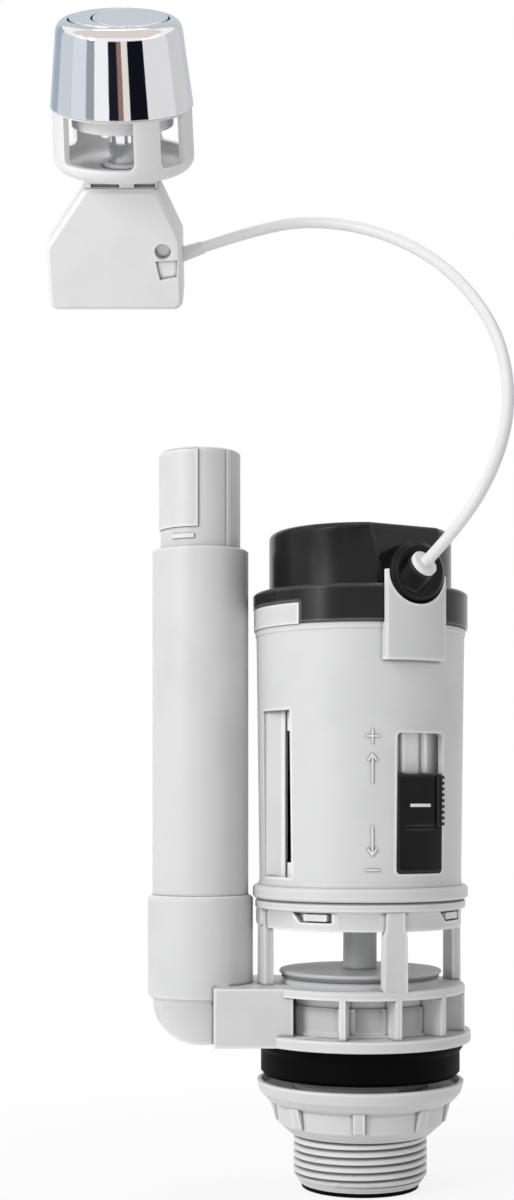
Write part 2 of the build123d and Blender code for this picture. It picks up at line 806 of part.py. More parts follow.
# Top cap: skirt ring, ledge and drum with an inclined flat for the cable
FACET_N = Vector(
    cos(radians(FACET_TILT)) * sin(radians(FACET_AZ)),
    -cos(radians(FACET_TILT)) * cos(radians(FACET_AZ)),
    sin(radians(FACET_TILT)),
)
FACET_P = Vector(
    FACET_DEPTH * sin(radians(FACET_AZ)), -FACET_DEPTH * cos(radians(FACET_AZ)), FACET_Z
)
FACET = Plane(origin=FACET_P, z_dir=FACET_N)
with BuildPart() as drum:
    with BuildSketch(Plane.XY.offset(CAP_LEDGE - 2.0)):
        Circle(DRUM_R)
    extrude(amount=DRUM_TOP - CAP_LEDGE + 2.0)
    split(bisect_by=FACET, keep=Keep.BOTTOM)
    fillet(drum.faces().sort_by(Axis.Z)[-1].edges(), 2.4)
with BuildPart() as drum_room:
    with BuildSketch(Plane.XY.offset(CAP_LEDGE - 3.0)):
        Circle(DRUM_R - CAP_WALL)
    extrude(amount=DRUM_TOP - CAP_WALL - CAP_LEDGE + 3.0)
    split(bisect_by=FACET.offset(-CAP_WALL), keep=Keep.BOTTOM)
PORT_P = Vector(40.5 * sin(radians(24.0)), -40.5 * cos(radians(24.0)), BODY_TOP + 16.1)
PORT = Plane(origin=PORT_P, z_dir=PORT_DIR)
with BuildPart() as top_cap:
    with BuildSketch(Plane.XZ):
        with BuildLine():
            Polyline(
                (NECK_R + SLIDE, BODY_TOP),
                (CAP_R, BODY_TOP),
                (CAP_R, CAP_LEDGE - 0.8),
                (CAP_R - 0.8, CAP_LEDGE),
                (DRUM_R - 4.0, CAP_LEDGE),
                (DRUM_R - 4.0, NECK_TOP),
                (NECK_R + SLIDE, NECK_TOP),
                (NECK_R + SLIDE, BODY_TOP),
            )
        make_face()
    revolve(axis=Axis.Z)
    add(drum.part)
    add(drum_room.part, mode=Mode.SUBTRACT)
    # skirt cut over the body's tab
    with BuildSketch(Plane.XY.offset(BODY_TOP - 1)):
        with BuildLine():
            CenterArc((0, 0), CAP_R + 2, -240, 114)
            Line((0, 0), ((CAP_R + 2) * cos(radians(-240)), (CAP_R + 2) * sin(radians(-240))))
            Line((0, 0), ((CAP_R + 2) * cos(radians(-126)), (CAP_R + 2) * sin(radians(-126))))
        make_face()
        Circle(NECK_R - 1, mode=Mode.SUBTRACT)
    extrude(amount=8.2, mode=Mode.SUBTRACT)
    # lugs for the lever pin, hung from the roof
    for side in (-1, 1):
        with BuildSketch(upright(LEVER_AZ).offset(side * 7.6 - 1.4)):
            with BuildLine():
                Polyline(
                    (LEVER_PIVOT_R - 4, LEVER_PIVOT_Z - 4),
                    (LEVER_PIVOT_R + 4, LEVER_PIVOT_Z - 4),
                    (LEVER_PIVOT_R + 5, DRUM_TOP - 1.2),
                    (LEVER_PIVOT_R - 5, DRUM_TOP - 1.2),
                    (LEVER_PIVOT_R - 4, LEVER_PIVOT_Z - 4),
                )
            make_face()
        extrude(amount=2.8)
    with BuildSketch(upright(LEVER_AZ).offset(-12)):
        with Locations((LEVER_PIVOT_R, LEVER_PIVOT_Z)):
            Circle(PIN_R)
    extrude(amount=24, mode=Mode.SUBTRACT)
    # hole for the inner wire
    with BuildSketch(PORT):
        Circle(1.2)
    extrude(amount=-22, mode=Mode.SUBTRACT)

# Pin of the lift lever
with BuildPart() as lift_lever_pin:
    with BuildSketch(upright(LEVER_AZ).offset(-9.0)):
        with Locations((LEVER_PIVOT_R, LEVER_PIVOT_Z)):
            Circle(PIN_R)
    extrude(amount=18.0)

# Lift lever: a fork under the stem's head
LEVER_DIR = (cos(radians(LEVER_SLOPE)), sin(radians(LEVER_SLOPE)))
with BuildPart() as lift_lever:
    with BuildSketch(upright(LEVER_AZ).offset(-5.7)):
        with BuildLine():
            Polyline(
                (LEVER_PIVOT_R - LEVER_DIR[1] * 2, LEVER_PIVOT_Z + LEVER_DIR[0] * 2),
                (
                    LEVER_PIVOT_R + LEVER_DIR[0] * 44 - LEVER_DIR[1] * 2,
                    LEVER_PIVOT_Z + LEVER_DIR[1] * 44 + LEVER_DIR[0] * 2,
                ),
                (
                    LEVER_PIVOT_R + LEVER_DIR[0] * 44 + LEVER_DIR[1] * 2,
                    LEVER_PIVOT_Z + LEVER_DIR[1] * 44 - LEVER_DIR[0] * 2,
                ),
                (LEVER_PIVOT_R + LEVER_DIR[1] * 2, LEVER_PIVOT_Z - LEVER_DIR[0] * 2),
                (LEVER_PIVOT_R - LEVER_DIR[1] * 2, LEVER_PIVOT_Z + LEVER_DIR[0] * 2),
            )
        make_face()
        with Locations((LEVER_PIVOT_R, LEVER_PIVOT_Z)):
            Circle(4.0)
            Circle(PIN_R + 0.08, mode=Mode.SUBTRACT)
    extrude(amount=11.4)
    with BuildSketch(Plane.XY.rotated((0, 0, LEVER_AZ - 90)).offset(140)):
        with Locations((3.0, 0)):
            Rectangle(26.0, 8.4)
    extrude(amount=60, mode=Mode.SUBTRACT)

# Barrel nipple of the inner wire, under the tip of the lift lever
with BuildPart() as lift_nipple:
    with BuildSketch(upright(LEVER_AZ).offset(-3.5)):
        with Locations(
            (
                LEVER_PIVOT_R + LEVER_DIR[0] * 41.6 + LEVER_DIR[1] * 4.2,
                LEVER_PIVOT_Z + LEVER_DIR[1] * 41.6 - LEVER_DIR[0] * 4.2,
            )
        ):
            Circle(2.2)
    extrude(amount=7.0)

# Cable socket: round black boss on the flat of the cap with an inclined nose
with BuildPart() as cable_socket:
    with BuildSketch(facing(TONGUE_AZ, NOTCH_Z).offset(22)):
        Circle(NOTCH_R - 0.4)
    extrude(amount=17.6)
    with BuildSketch(facing(TONGUE_AZ, NOTCH_Z).offset(39.6)):
        Circle(NOTCH_R - 0.4)
    extrude(amount=1.4, taper=45)
    with BuildSketch(PORT.offset(-3)):
        Circle(6.2)
    extrude(amount=7.1, taper=10)
    split(bisect_by=FACET, keep=Keep.TOP)
    # stands on the ledge and clears the skirt ring in front of it
    with BuildSketch(Plane.XY.offset(CAP_LEDGE)):
        Circle(CAP_R + CLEAR)
    extrude(amount=-12, mode=Mode.SUBTRACT)
    with BuildSketch(PORT.offset(5)):
        Circle(1.2)
    extrude(amount=-36, mode=Mode.SUBTRACT)

# White collar that ends the sheath
with BuildPart() as cable_collar:
    with BuildSketch(PORT.offset(4.1)):
        Circle(4.7)
    extrude(amount=2.0)
    fillet(cable_collar.edges().filter_by(GeomType.CIRCLE), 0.5)

# Bezel: chromed cone with a rounded shoulder
with BuildPart() as bezel:
    with BuildSketch(BTN_FRONT):
        with BuildLine():
            Polyline((24.1, 0), (BEZEL_R, 0), (SHOULDER_R, SHOULDER_H))
            ThreePointArc(
                (SHOULDER_R, SHOULDER_H),
                (21.2, 27.6),
                (18.3, 29.0),
            )
            Polyline((18.3, 29.0), (18.0, 28.6), (18.0, 26.6), (20.6, 24.4), (24.1, 0))
        make_face()
    revolve(axis=BTN_AXIS)

# Button cage: windowed wall, collar in the bezel, inner skirt, floor and slotted neck
with BuildPart() as button_cage:
    with BuildSketch(BTN_FRONT):
        with BuildLine():
            Polyline(
                (CAGE_R - 5.2, CAGE_LOW + CAGE_FLOOR),
                (PLUNGER_R + 0.25, CAGE_LOW + CAGE_FLOOR),
                (PLUNGER_R + 0.25, CAGE_LOW),
                (CAGE_R - 5.0, CAGE_LOW),
            )
            ThreePointArc(
                (CAGE_R - 5.0, CAGE_LOW),
                (CAGE_R - 1.4, CAGE_LOW + 1.5),
                (CAGE_R, CAGE_SILL),
            )
            Polyline((CAGE_R, CAGE_SILL), (CAGE_R - 0.5, 0), (CAGE_R - 2.7, 0), (CAGE_R - 2.2, CAGE_SILL))
            ThreePointArc(
                (CAGE_R - 2.2, CAGE_SILL),
                (CAGE_R - 3.0, CAGE_LOW + 2.9),
                (CAGE_R - 5.2, CAGE_LOW + CAGE_FLOOR),
            )
        make_face()
    revolve(axis=BTN_AXIS)
    for start, arc in CAGE_WINDOWS:
        with BuildSketch(button_upright(start)):
            with BuildLine():
                Polyline((21, CAGE_SILL), (28, CAGE_SILL), (28, -1), (21, -1), (21, CAGE_SILL))
            make_face()
        revolve(axis=BTN_AXIS, revolution_arc=arc, mode=Mode.SUBTRACT)
    sills = button_cage.edges().filter_by(GeomType.LINE)
    sills = sills.filter_by(lambda e: abs((e.center() - BTN_ORIGIN).dot(BTN_W) - CAGE_SILL) < 0.05)
    fillet(sills, 2.0)
    with BuildSketch(BTN_FRONT):
        with BuildLine():
            Polyline(
                (21.2, -1.0),
                (23.4, -1.0),
                (23.4, 0),
                (23.1, 0),
                (23.1, 6.0),
                (21.2, 6.0),
                (21.2, 4.0),
                (PLUNGER_R + 0.1, 4.0),
                (PLUNGER_R + 0.1, 2.0),
                (16.6, 2.0),
                (16.6, -6.6),
                (18.4, -6.6),
                (18.4, 1.0),
                (21.2, 1.0),
                (21.2, -1.0),
            )
        make_face()
    revolve(axis=BTN_AXIS)
    with BuildSketch(BTN.offset(BOX_TOP)):
        with Locations((BOX_TOP_U, 0)):
            RectangleRounded(BOX_TOP_W - 0.8, BOX_D - 3.6, 2.0)
        Circle(PLUNGER_R + 0.25, mode=Mode.SUBTRACT)
    extrude(amount=CAGE_LOW - BOX_TOP + 0.3)
    with BuildSketch(BTN_FRONT.offset(BOX_D / 2 - 3.4)):
        with Locations((-6.8, BOX_TOP + 1.1)):
            Rectangle(10.3, 1.3)
        with Locations((7.6, BOX_TOP + 1.1)):
            Rectangle(7.6, 1.3)
    extrude(amount=3, mode=Mode.SUBTRACT)

# Guide ring of the plunger on the cage floor
with BuildPart() as plunger_guide:
    with BuildSketch(BTN.offset(CAGE_LOW + CAGE_FLOOR)):
        Circle(8.2)
        Circle(PLUNGER_R + 0.1, mode=Mode.SUBTRACT)
    extrude(amount=1.4)

# Full flush button: the large part of the round top
with BuildPart() as full_button:
    with BuildSketch(BTN.offset(25.4)):
        Circle(BUTTON_R)
        with Locations((9.5, 0)):
            Circle(18.7, mode=Mode.INTERSECT)
    extrude(amount=BUTTON_TOP - 25.4)
    fillet(full_button.faces().sort_by(BTN_AXIS)[-1].edges(), 0.5)

# Half flush button: a crescent with its leg and arm
with BuildPart() as half_button:
    with BuildSketch(BTN.offset(25.4)):
        Circle(BUTTON_R)
        with Locations((9.5, 0)):
            Circle(19.3, mode=Mode.SUBTRACT)
    extrude(amount=BUTTON_TOP - 25.4)
    fillet(half_button.faces().sort_by(BTN_AXIS)[-1].edges(), 0.4)
    with BuildSketch(BTN.offset(12.0)):
        with Locations((-12.6, 0)):
            Rectangle(3.0, 6.0)
    extrude(amount=13.6)
    with BuildSketch(BTN.offset(12.0)):
        with Locations((-6.9, 0)):
            Rectangle(9.4, 3.6)
        Circle(ROD_R, mode=Mode.SUBTRACT)
    extrude(amount=3.0)

# Rod of the half flush button, inside the plunger
with BuildPart() as half_rod:
    with BuildSketch(BTN.offset(LEVER_W + 1.5)):
        Circle(ROD_R)
    extrude(amount=13.0 - LEVER_W)

# Chromed plunger of the full flush button
with BuildPart() as plunger:
    with BuildSketch(BTN.offset(LEVER_W + 11.0)):
        Circle(PLUNGER_R)
        Circle(PLUNGER_BORE, mode=Mode.SUBTRACT)
    extrude(amount=14.4 - LEVER_W)
    with BuildSketch(BTN.offset(7.4)):
        with Locations((-4.0, 0)):
            Rectangle(8.0, 4.2)
    extrude(amount=17.2, mode=Mode.SUBTRACT)
    with BuildSketch(BTN.offset(LEVER_W + 3.0)):
        with Locations((0, 4.05)):
            Rectangle(4.4, 2.1)
    extrude(amount=9.0)

# Cable box: outline shared by the two shells
BOX_OUTLINE = [
    (BOX_TOP_U - BOX_TOP_W / 2, BOX_TOP),
    (BOX_TOP_U + BOX_TOP_W / 2, BOX_TOP),
    (BOX_U + BOX_W / 2, BOX_WAIST + 2.6),
    (BOX_U + BOX_W / 2, BOX_LOW),
    (BOX_U - BOX_W / 2, BOX_LOW),
    (BOX_U - BOX_W / 2, BOX_WAIST),
]
BOX_ROOM = [
    (BOX_TOP_U - BOX_TOP_W / 2 + 2.4, BOX_TOP - BOX_WALL),
    (BOX_TOP_U + BOX_TOP_W / 2 - 2.4, BOX_TOP - BOX_WALL),
    (BOX_U + BOX_W / 2 - 2.2, BOX_WAIST + 2.2),
    (BOX_U + BOX_W / 2 - 2.2, BOX_LOW + 2.2),
    (BOX_U - BOX_W / 2 + 2.2, BOX_LOW + 2.2),
    (BOX_U - BOX_W / 2 + 2.2, BOX_WAIST - 0.4),
]
with BuildPart() as box_front:
    with BuildSketch(BTN_FRONT):
        with BuildLine():
            Polyline(*BOX_OUTLINE, close=True)
        make_face()
        fillet(vertices(), 3.6)
    extrude(amount=BOX_D / 2)
    chamfer(box_front.faces().sort_by(Axis(BTN_ORIGIN, BTN_V))[0].edges(), 1.4)
    with BuildSketch(BTN_FRONT):
        with BuildLine():
            Polyline(*BOX_ROOM, close=True)
        make_face()
    extrude(amount=BOX_D / 2 - BOX_WALL, mode=Mode.SUBTRACT)
    # top hole of the plunger
    with BuildSketch(BTN.offset(BOX_TOP + 1)):
        Circle(PLUNGER_R + 0.3)
    extrude(amount=-5, mode=Mode.SUBTRACT)
    # blind round hole and shallow pocket beside the cable
    with BuildSketch(BTN_FRONT.offset(BOX_D / 2 - BOX_WALL + 0.1)):
        with Locations((BOX_U + BOX_W / 2 - 7.0, BOX_TOP - 22.5)):
            Circle(4.4)
    extrude(amount=-3.0)
    with BuildSketch(BTN_FRONT.offset(BOX_D / 2 - 3.6)):
        with Locations((BOX_U + BOX_W / 2 - 7.0, BOX_TOP - 22.5)):
            Circle(3.0)
    extrude(amount=6, mode=Mode.SUBTRACT)
    with BuildSketch(BTN_FRONT.offset(BOX_D / 2 - 1.1)):
        with BuildLine():
            Polyline(
                (BOX_U + BOX_W / 2 - 9.8, BOX_TOP - 26.0),
                (BOX_U + BOX_W / 2 - 1.7, BOX_TOP - 25.5),
                (BOX_U + BOX_W / 2 - 2.1, BOX_TOP - 31.8),
                (BOX_U + BOX_W / 2 - 8.3, BOX_TOP - 32.9),
                (BOX_U + BOX_W / 2 - 9.8, BOX_TOP - 26.0),
            )
        make_face()
    extrude(amount=3, mode=Mode.SUBTRACT)
with BuildPart() as box_rear:
    with BuildSketch(BTN_FRONT):
        with BuildLine():
            Polyline(*BOX_OUTLINE, close=True)
        make_face()
        fillet(vertices(), 3.6)
    extrude(amount=-BOX_D / 2)
    chamfer(box_rear.faces().sort_by(Axis(BTN_ORIGIN, BTN_V))[-1].edges(), 1.4)
    with BuildSketch(BTN_FRONT):
        with BuildLine():
            Polyline(*BOX_ROOM, close=True)
        make_face()
    extrude(amount=-BOX_D / 2 + BOX_WALL, mode=Mode.SUBTRACT)
    with BuildSketch(BTN.offset(BOX_TOP + 1)):
        Circle(PLUNGER_R + 0.3)
    extrude(amount=-5, mode=Mode.SUBTRACT)

# Pin of the two levers in the box
with BuildPart() as box_pin:
    with BuildSketch(BTN_FRONT.offset(-BOX_D / 2 + BOX_WALL)):
        with Locations((LEVER_U, LEVER_W)):
            Circle(PIN_R)
    extrude(amount=BOX_D - 2 * BOX_WALL)

# Lever of the full flush button
with BuildPart() as full_lever:
    with BuildSketch(BTN_FRONT.offset(-6.4)):
        with BuildLine():
            Polyline(
                (LEVER_U, LEVER_W - 2.6),
                (LEVER_U + 14.6, LEVER_W - 0.6),
                (LEVER_U + 15.2, LEVER_W + 0.4),
                (LEVER_U + 15.2, LEVER_W + 2.7),
                (LEVER_U + 12.8, LEVER_W + 2.7),
                (LEVER_U + 11.0, LEVER_W + 1.6),
                (LEVER_U, LEVER_W + 2.8),
                (LEVER_U, LEVER_W - 2.6),
            )
        make_face()
        with Locations((LEVER_U, LEVER_W - 7.1)):
            Rectangle(4.4, 14.2)
        with Locations((LEVER_U, LEVER_W)):
            Circle(3.8)
            Circle(PIN_R + 0.08, mode=Mode.SUBTRACT)
    extrude(amount=3.7)

# Lever of the half flush button
with BuildPart() as half_lever:
    with BuildSketch(BTN_FRONT.offset(-2.3)):
        with BuildLine():
            Polyline(
                (LEVER_U, LEVER_W - 2.6),
                (LEVER_U + 14.6, LEVER_W - 1.6),
                (LEVER_U + 15.2, LEVER_W - 0.8),
                (LEVER_U + 15.2, LEVER_W + 1.2),
                (LEVER_U + 12.8, LEVER_W + 1.2),
                (LEVER_U + 11.0, LEVER_W + 0.4),
                (LEVER_U, LEVER_W + 2.8),
                (LEVER_U, LEVER_W - 2.6),
            )
        make_face()
        with Locations((LEVER_U, LEVER_W)):
            Circle(3.8)
            Circle(PIN_R + 0.08, mode=Mode.SUBTRACT)
    extrude(amount=4.6)

# Coil that returns the levers, on the pin in front of them
with BuildPart() as lever_spring:
    with BuildSketch(BTN_FRONT.offset(2.7)):
        with Locations((LEVER_U, LEVER_W)):
            Circle(3.2)
            Circle(PIN_R + 0.08, mode=Mode.SUBTRACT)
    extrude(amount=BOX_D / 2 - BOX_WALL - 2.7)

# Barrel nipple on the full flush lever
with BuildPart() as box_nipple:
    with BuildSketch(BTN_FRONT.offset(-2.7)):
        with Locations((LEVER_U, LEVER_W - 12.0)):
            Circle(2.2)
    extrude(amount=5.0)

# Ferrule that holds the sheath in the box wall
FERRULE_DIR = (BTN_U * cos(radians(18.5)) + BTN_W * sin(radians(18.5))).normalized()
FERRULE_P = BTN_ORIGIN + BTN_U * (BOX_U + BOX_W / 2) + BTN_W * (BOX_TOP - 26.2)
with BuildPart() as box_ferrule:
    with BuildSketch(Plane(origin=FERRULE_P - FERRULE_DIR * 3, z_dir=FERRULE_DIR)):
        Circle(2.9)
    extrude(amount=11.0, taper=3)
    split(
        bisect_by=Plane(origin=FERRULE_P, z_dir=BTN_U),
        keep=Keep.TOP,
    )

# Cable sheath: straight runs joined by tangent arcs
COLLAR_END = PORT_P + PORT_DIR * 6.1
FERRULE_END = FERRULE_P + FERRULE_DIR * 8.0
ROUTE = [
    FERRULE_END,
    FERRULE_END + FERRULE_DIR * 19.0,
    Vector(-17.5, 22.0, 313.4),
    Vector(8.4, 12.0, 306.2),
    Vector(30.9, -4.0, 288.7),
    Vector(45.2, -27.0, 261.2),
    Vector(47.8, -46.0, 234.0),
    Vector(43.0, -55.0, 211.2),
    COLLAR_END + PORT_DIR * 22.0,
    COLLAR_END,
]
RADII = []
CABLE_LENGTH = (ROUTE[1] - ROUTE[0]).length
for before, here, after in zip(ROUTE, ROUTE[1:], ROUTE[2:]):
    turn = radians((here - before).get_angle(after - here))
    shorter = min((here - before).length, (after - here).length)
    RADII.append(0.45 * shorter / tan(turn / 2))
    CABLE_LENGTH += (after - here).length + RADII[-1] * (turn - 2 * tan(turn / 2))
with BuildPart() as cable_sheath:
    with BuildLine():
        FilletPolyline(*ROUTE, radius=RADII)
    with BuildSketch(Plane(origin=FERRULE_END, z_dir=FERRULE_DIR)):
        Circle(CABLE_D / 2)
    sweep()
print("cable radii", [round(r, 1) for r in RADII], "length", round(CABLE_LENGTH, 1))
print(
    "cable volume",
    round(cable_sheath.part.volume, 1),
    "section times length",
    round(pi * CABLE_D**2 / 4 * CABLE_LENGTH, 1),
)
print("cable points", [tuple(round(c, 2) for c in point) for point in ROUTE])

PIECES = {
    "valve_base": valve_base,
    "outlet_ring": outlet_ring,
    "cistern_seal": cistern_seal,
    "back_nut": back_nut,
    "overflow_outer_tube": overflow_outer_tube,
    "overflow_inner_tube": overflow_inner_tube,
    "overflow_o_ring": overflow_o_ring,
    "valve_body": valve_body,
    "inner_sleeve": inner_sleeve,
    "volume_slider": volume_slider,
    "lift_stem": lift_stem,
    "seal_disc": seal_disc,
    "flush_seal": flush_seal,
    "seal_retainer": seal_retainer,
    "full_float": full_float,
    "half_float": half_float,
    "top_cap": top_cap,
    "lift_lever": lift_lever,
    "lift_lever_pin": lift_lever_pin,
    "lift_nipple": lift_nipple,
    "cable_socket": cable_socket,
    "cable_collar": cable_collar,
    "cable_sheath": cable_sheath,
    "box_ferrule": box_ferrule,
    "bezel": bezel,
    "button_cage": button_cage,
    "plunger_guide": plunger_guide,
    "full_button": full_button,
    "half_button": half_button,
    "half_rod": half_rod,
    "plunger": plunger,
    "box_front": box_front,
    "box_rear": box_rear,
    "box_pin": box_pin,
    "full_lever": full_lever,
    "half_lever": half_lever,
    "lever_spring": lever_spring,
    "box_nipple": box_nipple,
}
for label, piece in PIECES.items():
    piece.part.label = label
    export_step(piece.part, f"parts/{label}.step")
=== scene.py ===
"""Dresses a dual flush valve: outlet, overflow, valve body, pull cable and chromed push button."""

import json
import logging
import math
from dataclasses import dataclass, field
from enum import Enum
from typing import Any, Iterable, Sequence, Union

import bmesh
import bpy
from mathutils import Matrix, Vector

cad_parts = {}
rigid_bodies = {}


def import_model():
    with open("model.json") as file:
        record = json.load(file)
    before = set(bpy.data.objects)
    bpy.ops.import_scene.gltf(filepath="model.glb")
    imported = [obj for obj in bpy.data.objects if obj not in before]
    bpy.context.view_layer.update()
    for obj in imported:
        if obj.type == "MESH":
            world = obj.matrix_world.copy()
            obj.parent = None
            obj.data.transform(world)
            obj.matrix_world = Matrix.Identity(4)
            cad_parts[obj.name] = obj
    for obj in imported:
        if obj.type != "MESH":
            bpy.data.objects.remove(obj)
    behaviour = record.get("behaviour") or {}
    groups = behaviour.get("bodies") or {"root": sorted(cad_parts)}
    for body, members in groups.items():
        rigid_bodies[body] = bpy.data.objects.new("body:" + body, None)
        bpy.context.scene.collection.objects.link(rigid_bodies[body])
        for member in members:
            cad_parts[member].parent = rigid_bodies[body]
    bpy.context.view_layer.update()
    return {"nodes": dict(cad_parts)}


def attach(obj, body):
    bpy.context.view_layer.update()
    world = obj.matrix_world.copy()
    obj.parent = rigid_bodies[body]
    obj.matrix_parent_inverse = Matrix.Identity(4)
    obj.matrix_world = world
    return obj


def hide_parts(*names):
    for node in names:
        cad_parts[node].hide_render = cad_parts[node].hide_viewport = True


LOG = logging.getLogger("flush_valve")
MM = 0.001
SHARP_ANGLE = 32.0
PLASTIC_IOR = 1.5

Colour = tuple[float, float, float]
Point = tuple[float, float, float]
Operand = Union["Wire", float, int]

WHITE: Colour = (1.0, 1.0, 1.0)
CORNERS = ((-1, -1), (1, -1), (1, 1), (-1, 1))


class Body(str, Enum):
    """The moving bodies that dressed pieces ride on."""

    VALVE = "valve"
    SLIDER = "slider"


class Slot(str, Enum):
    """The record's finish slots that new pieces take."""

    WHITE = "white_plastic"
    SHEATH = "sheath"


class Sense(Enum):
    """Which way an adjusting arrow points."""

    UP = 1
    DOWN = -1


class Wire:
    """One shader output that takes part in Python arithmetic."""

    def __init__(self, book: "NodeBook", socket: bpy.types.NodeSocket) -> None:
        """Holds a socket and the material it belongs to."""
        self.book = book
        self.socket = socket

    def _join(self, operation: str, first: Operand, second: Operand) -> "Wire":
        """Adds a node for one operation between two values or two vectors.

        Args:
            operation: the Math or Vector Math operation's name.
            first: the left-hand operand.
            second: the right-hand operand.

        Returns:
            The wire of the new node's result.
        """
        settings = {"operation": operation}
        if self.socket.type in {"VECTOR", "RGBA"}:
            spread = [(x, x, x) if isinstance(x, (int, float)) else x for x in (first, second)]
            return self.book.add("ShaderNodeVectorMath", settings, {0: spread[0], 1: spread[1]})
        return self.book.add("ShaderNodeMath", settings, {0: first, 1: second})

    def __add__(self, other: Operand) -> "Wire":
        """Sum."""
        return self._join("ADD", self, other)

    def __radd__(self, other: Operand) -> "Wire":
        """Sum with the number on the left."""
        return self._join("ADD", other, self)

    def __sub__(self, other: Operand) -> "Wire":
        """Difference."""
        return self._join("SUBTRACT", self, other)

    def __rsub__(self, other: Operand) -> "Wire":
        """Difference with the number on the left."""
        return self._join("SUBTRACT", other, self)

    def __mul__(self, other: Operand) -> "Wire":
        """Product."""
        return self._join("MULTIPLY", self, other)

    def __rmul__(self, other: Operand) -> "Wire":
        """Product with the number on the left."""
        return self._join("MULTIPLY", other, self)

    def either(self, other: Operand) -> "Wire":
        """The greater of two values."""
        return self._join("MAXIMUM", self, other)

    def band(self, low: float, high: float) -> "Wire":
        """Smooth step of this value from 0 at low to 1 at high."""
        sockets = {"Value": self, "From Min": low, "From Max": high}
        return self.book.add("ShaderNodeMapRange", {"interpolation_type": "SMOOTHSTEP"}, sockets)


class NodeBook:
    """Writes the nodes of one material or of the world."""

    def __init__(self, owner: bpy.types.Material | bpy.types.World) -> None:
        """Starts with an empty tree.

        Args:
            owner: the material or world that the nodes belong to.
        """
        owner.use_nodes = True
        self.owner = owner
        self.tree = owner.node_tree
        self.tree.nodes.clear()

    @classmethod
    def material(cls, name: str) -> "NodeBook":
        """A book for a new material."""
        return cls(bpy.data.materials.new(name))

    def add(
        self,
        kind: str,
        settings: dict[str, Any] | None = None,
        sockets: dict[int | str, Any] | None = None,
        out: int | str = 0,
    ) -> Wire:
        """Makes one node of any type.

        Args:
            kind: the node's type name.
            settings: the node's own properties, set first.
            sockets: values or wires for its inputs, by index or name.
            out: the output to return, by index or name.

        Returns:
            The wire of the chosen output.
        """
        node = self.tree.nodes.new(kind)
        for key, value in (settings or {}).items():
            setattr(node, key, value)
        for key, value in (sockets or {}).items():
            if isinstance(value, Wire):
                self.tree.links.new(value.socket, node.inputs[key])
            elif node.inputs[key].type == "RGBA" and len(value) == 3:
                node.inputs[key].default_value = (*value, 1.0)
            else:
                node.inputs[key].default_value = value
        return Wire(self, node.outputs[out] if node.outputs else None)

    def mix(self, factor: Operand, first: Any, second: Any) -> Wire:
        """Blends two colours by a factor."""
        # The Mix node's colours are its sockets 6 and 7, and its output 2.
        sockets = {0: factor, 6: first, 7: second}
        return self.add("ShaderNodeMix", {"data_type": "RGBA"}, sockets, 2)

    def place(self) -> Wire:
        """The surface point in the object's own space, in millimetres."""
        spot = self.add("ShaderNodeTexCoord", None, None, "Object")
        return spot * (1.0 / MM)

    def noise(self, spot: Wire, scale: float, detail: float) -> Wire:
        """Fractal noise with features of about 1 / scale millimetres."""
        return self.add("ShaderNodeTexNoise", None, {"Vector": spot, "Scale": scale, "Detail": detail})

    def rounded(self, radius: float) -> Wire:
        """The surface normal with its edges rounded to a radius in millimetres."""
        return self.add("ShaderNodeBevel", {"samples": 4}, {"Radius": radius * MM})

    def closeness(self, reach: float, inside: bool = False) -> Wire:
        """How much surface lies close by.

        Args:
            reach: how far to look, in millimetres.
            inside: looks into the piece, which finds its outer edges, instead of out from it.

        Returns:
            The wire of a value from 0 in the open to 1 in a tight corner.
        """
        settings = {"samples": 6, "inside": inside, "only_local": inside}
        return 1.0 - self.add("ShaderNodeAmbientOcclusion", settings, {"Distance": reach * MM}, "AO")

    def shown(self) -> Wire:
        """Finds where the eye meets a surface.

        Returns:
            The wire of 1 where it is seen straight, in a mirror or through glass, and else 0.
        """
        rays = ("Is Camera Ray", "Is Glossy Ray", "Is Transmission Ray")
        seen, mirrored, through = (self.add("ShaderNodeLightPath", None, None, ray) for ray in rays)
        return seen.either(mirrored).either(through)

    def bump(self, height: Wire, depth: float, normal: Wire | None = None) -> Wire:
        """Turns a height into a normal.

        Args:
            height: the height, about 0 to 1.
            depth: the relief in millimetres.
            normal: the normal that the relief stands on.

        Returns:
            The wire of the bumped normal.
        """
        sockets = {"Height": height, "Distance": depth * MM, "Strength": 1.0}
        if normal is not None:
            sockets["Normal"] = normal
        return self.add("ShaderNodeBump", None, sockets)

    def surface(self, shader: Wire) -> bpy.types.Material | bpy.types.World:
        """Ends the tree in a surface shader.

        Args:
            shader: the shader to end in.

        Returns:
            The finished material or world.
        """
        is_world = isinstance(self.owner, bpy.types.World)
        kind = "ShaderNodeOutputWorld" if is_world else "ShaderNodeOutputMaterial"
        self.add(kind, None, {"Surface": shader})
        return self.owner


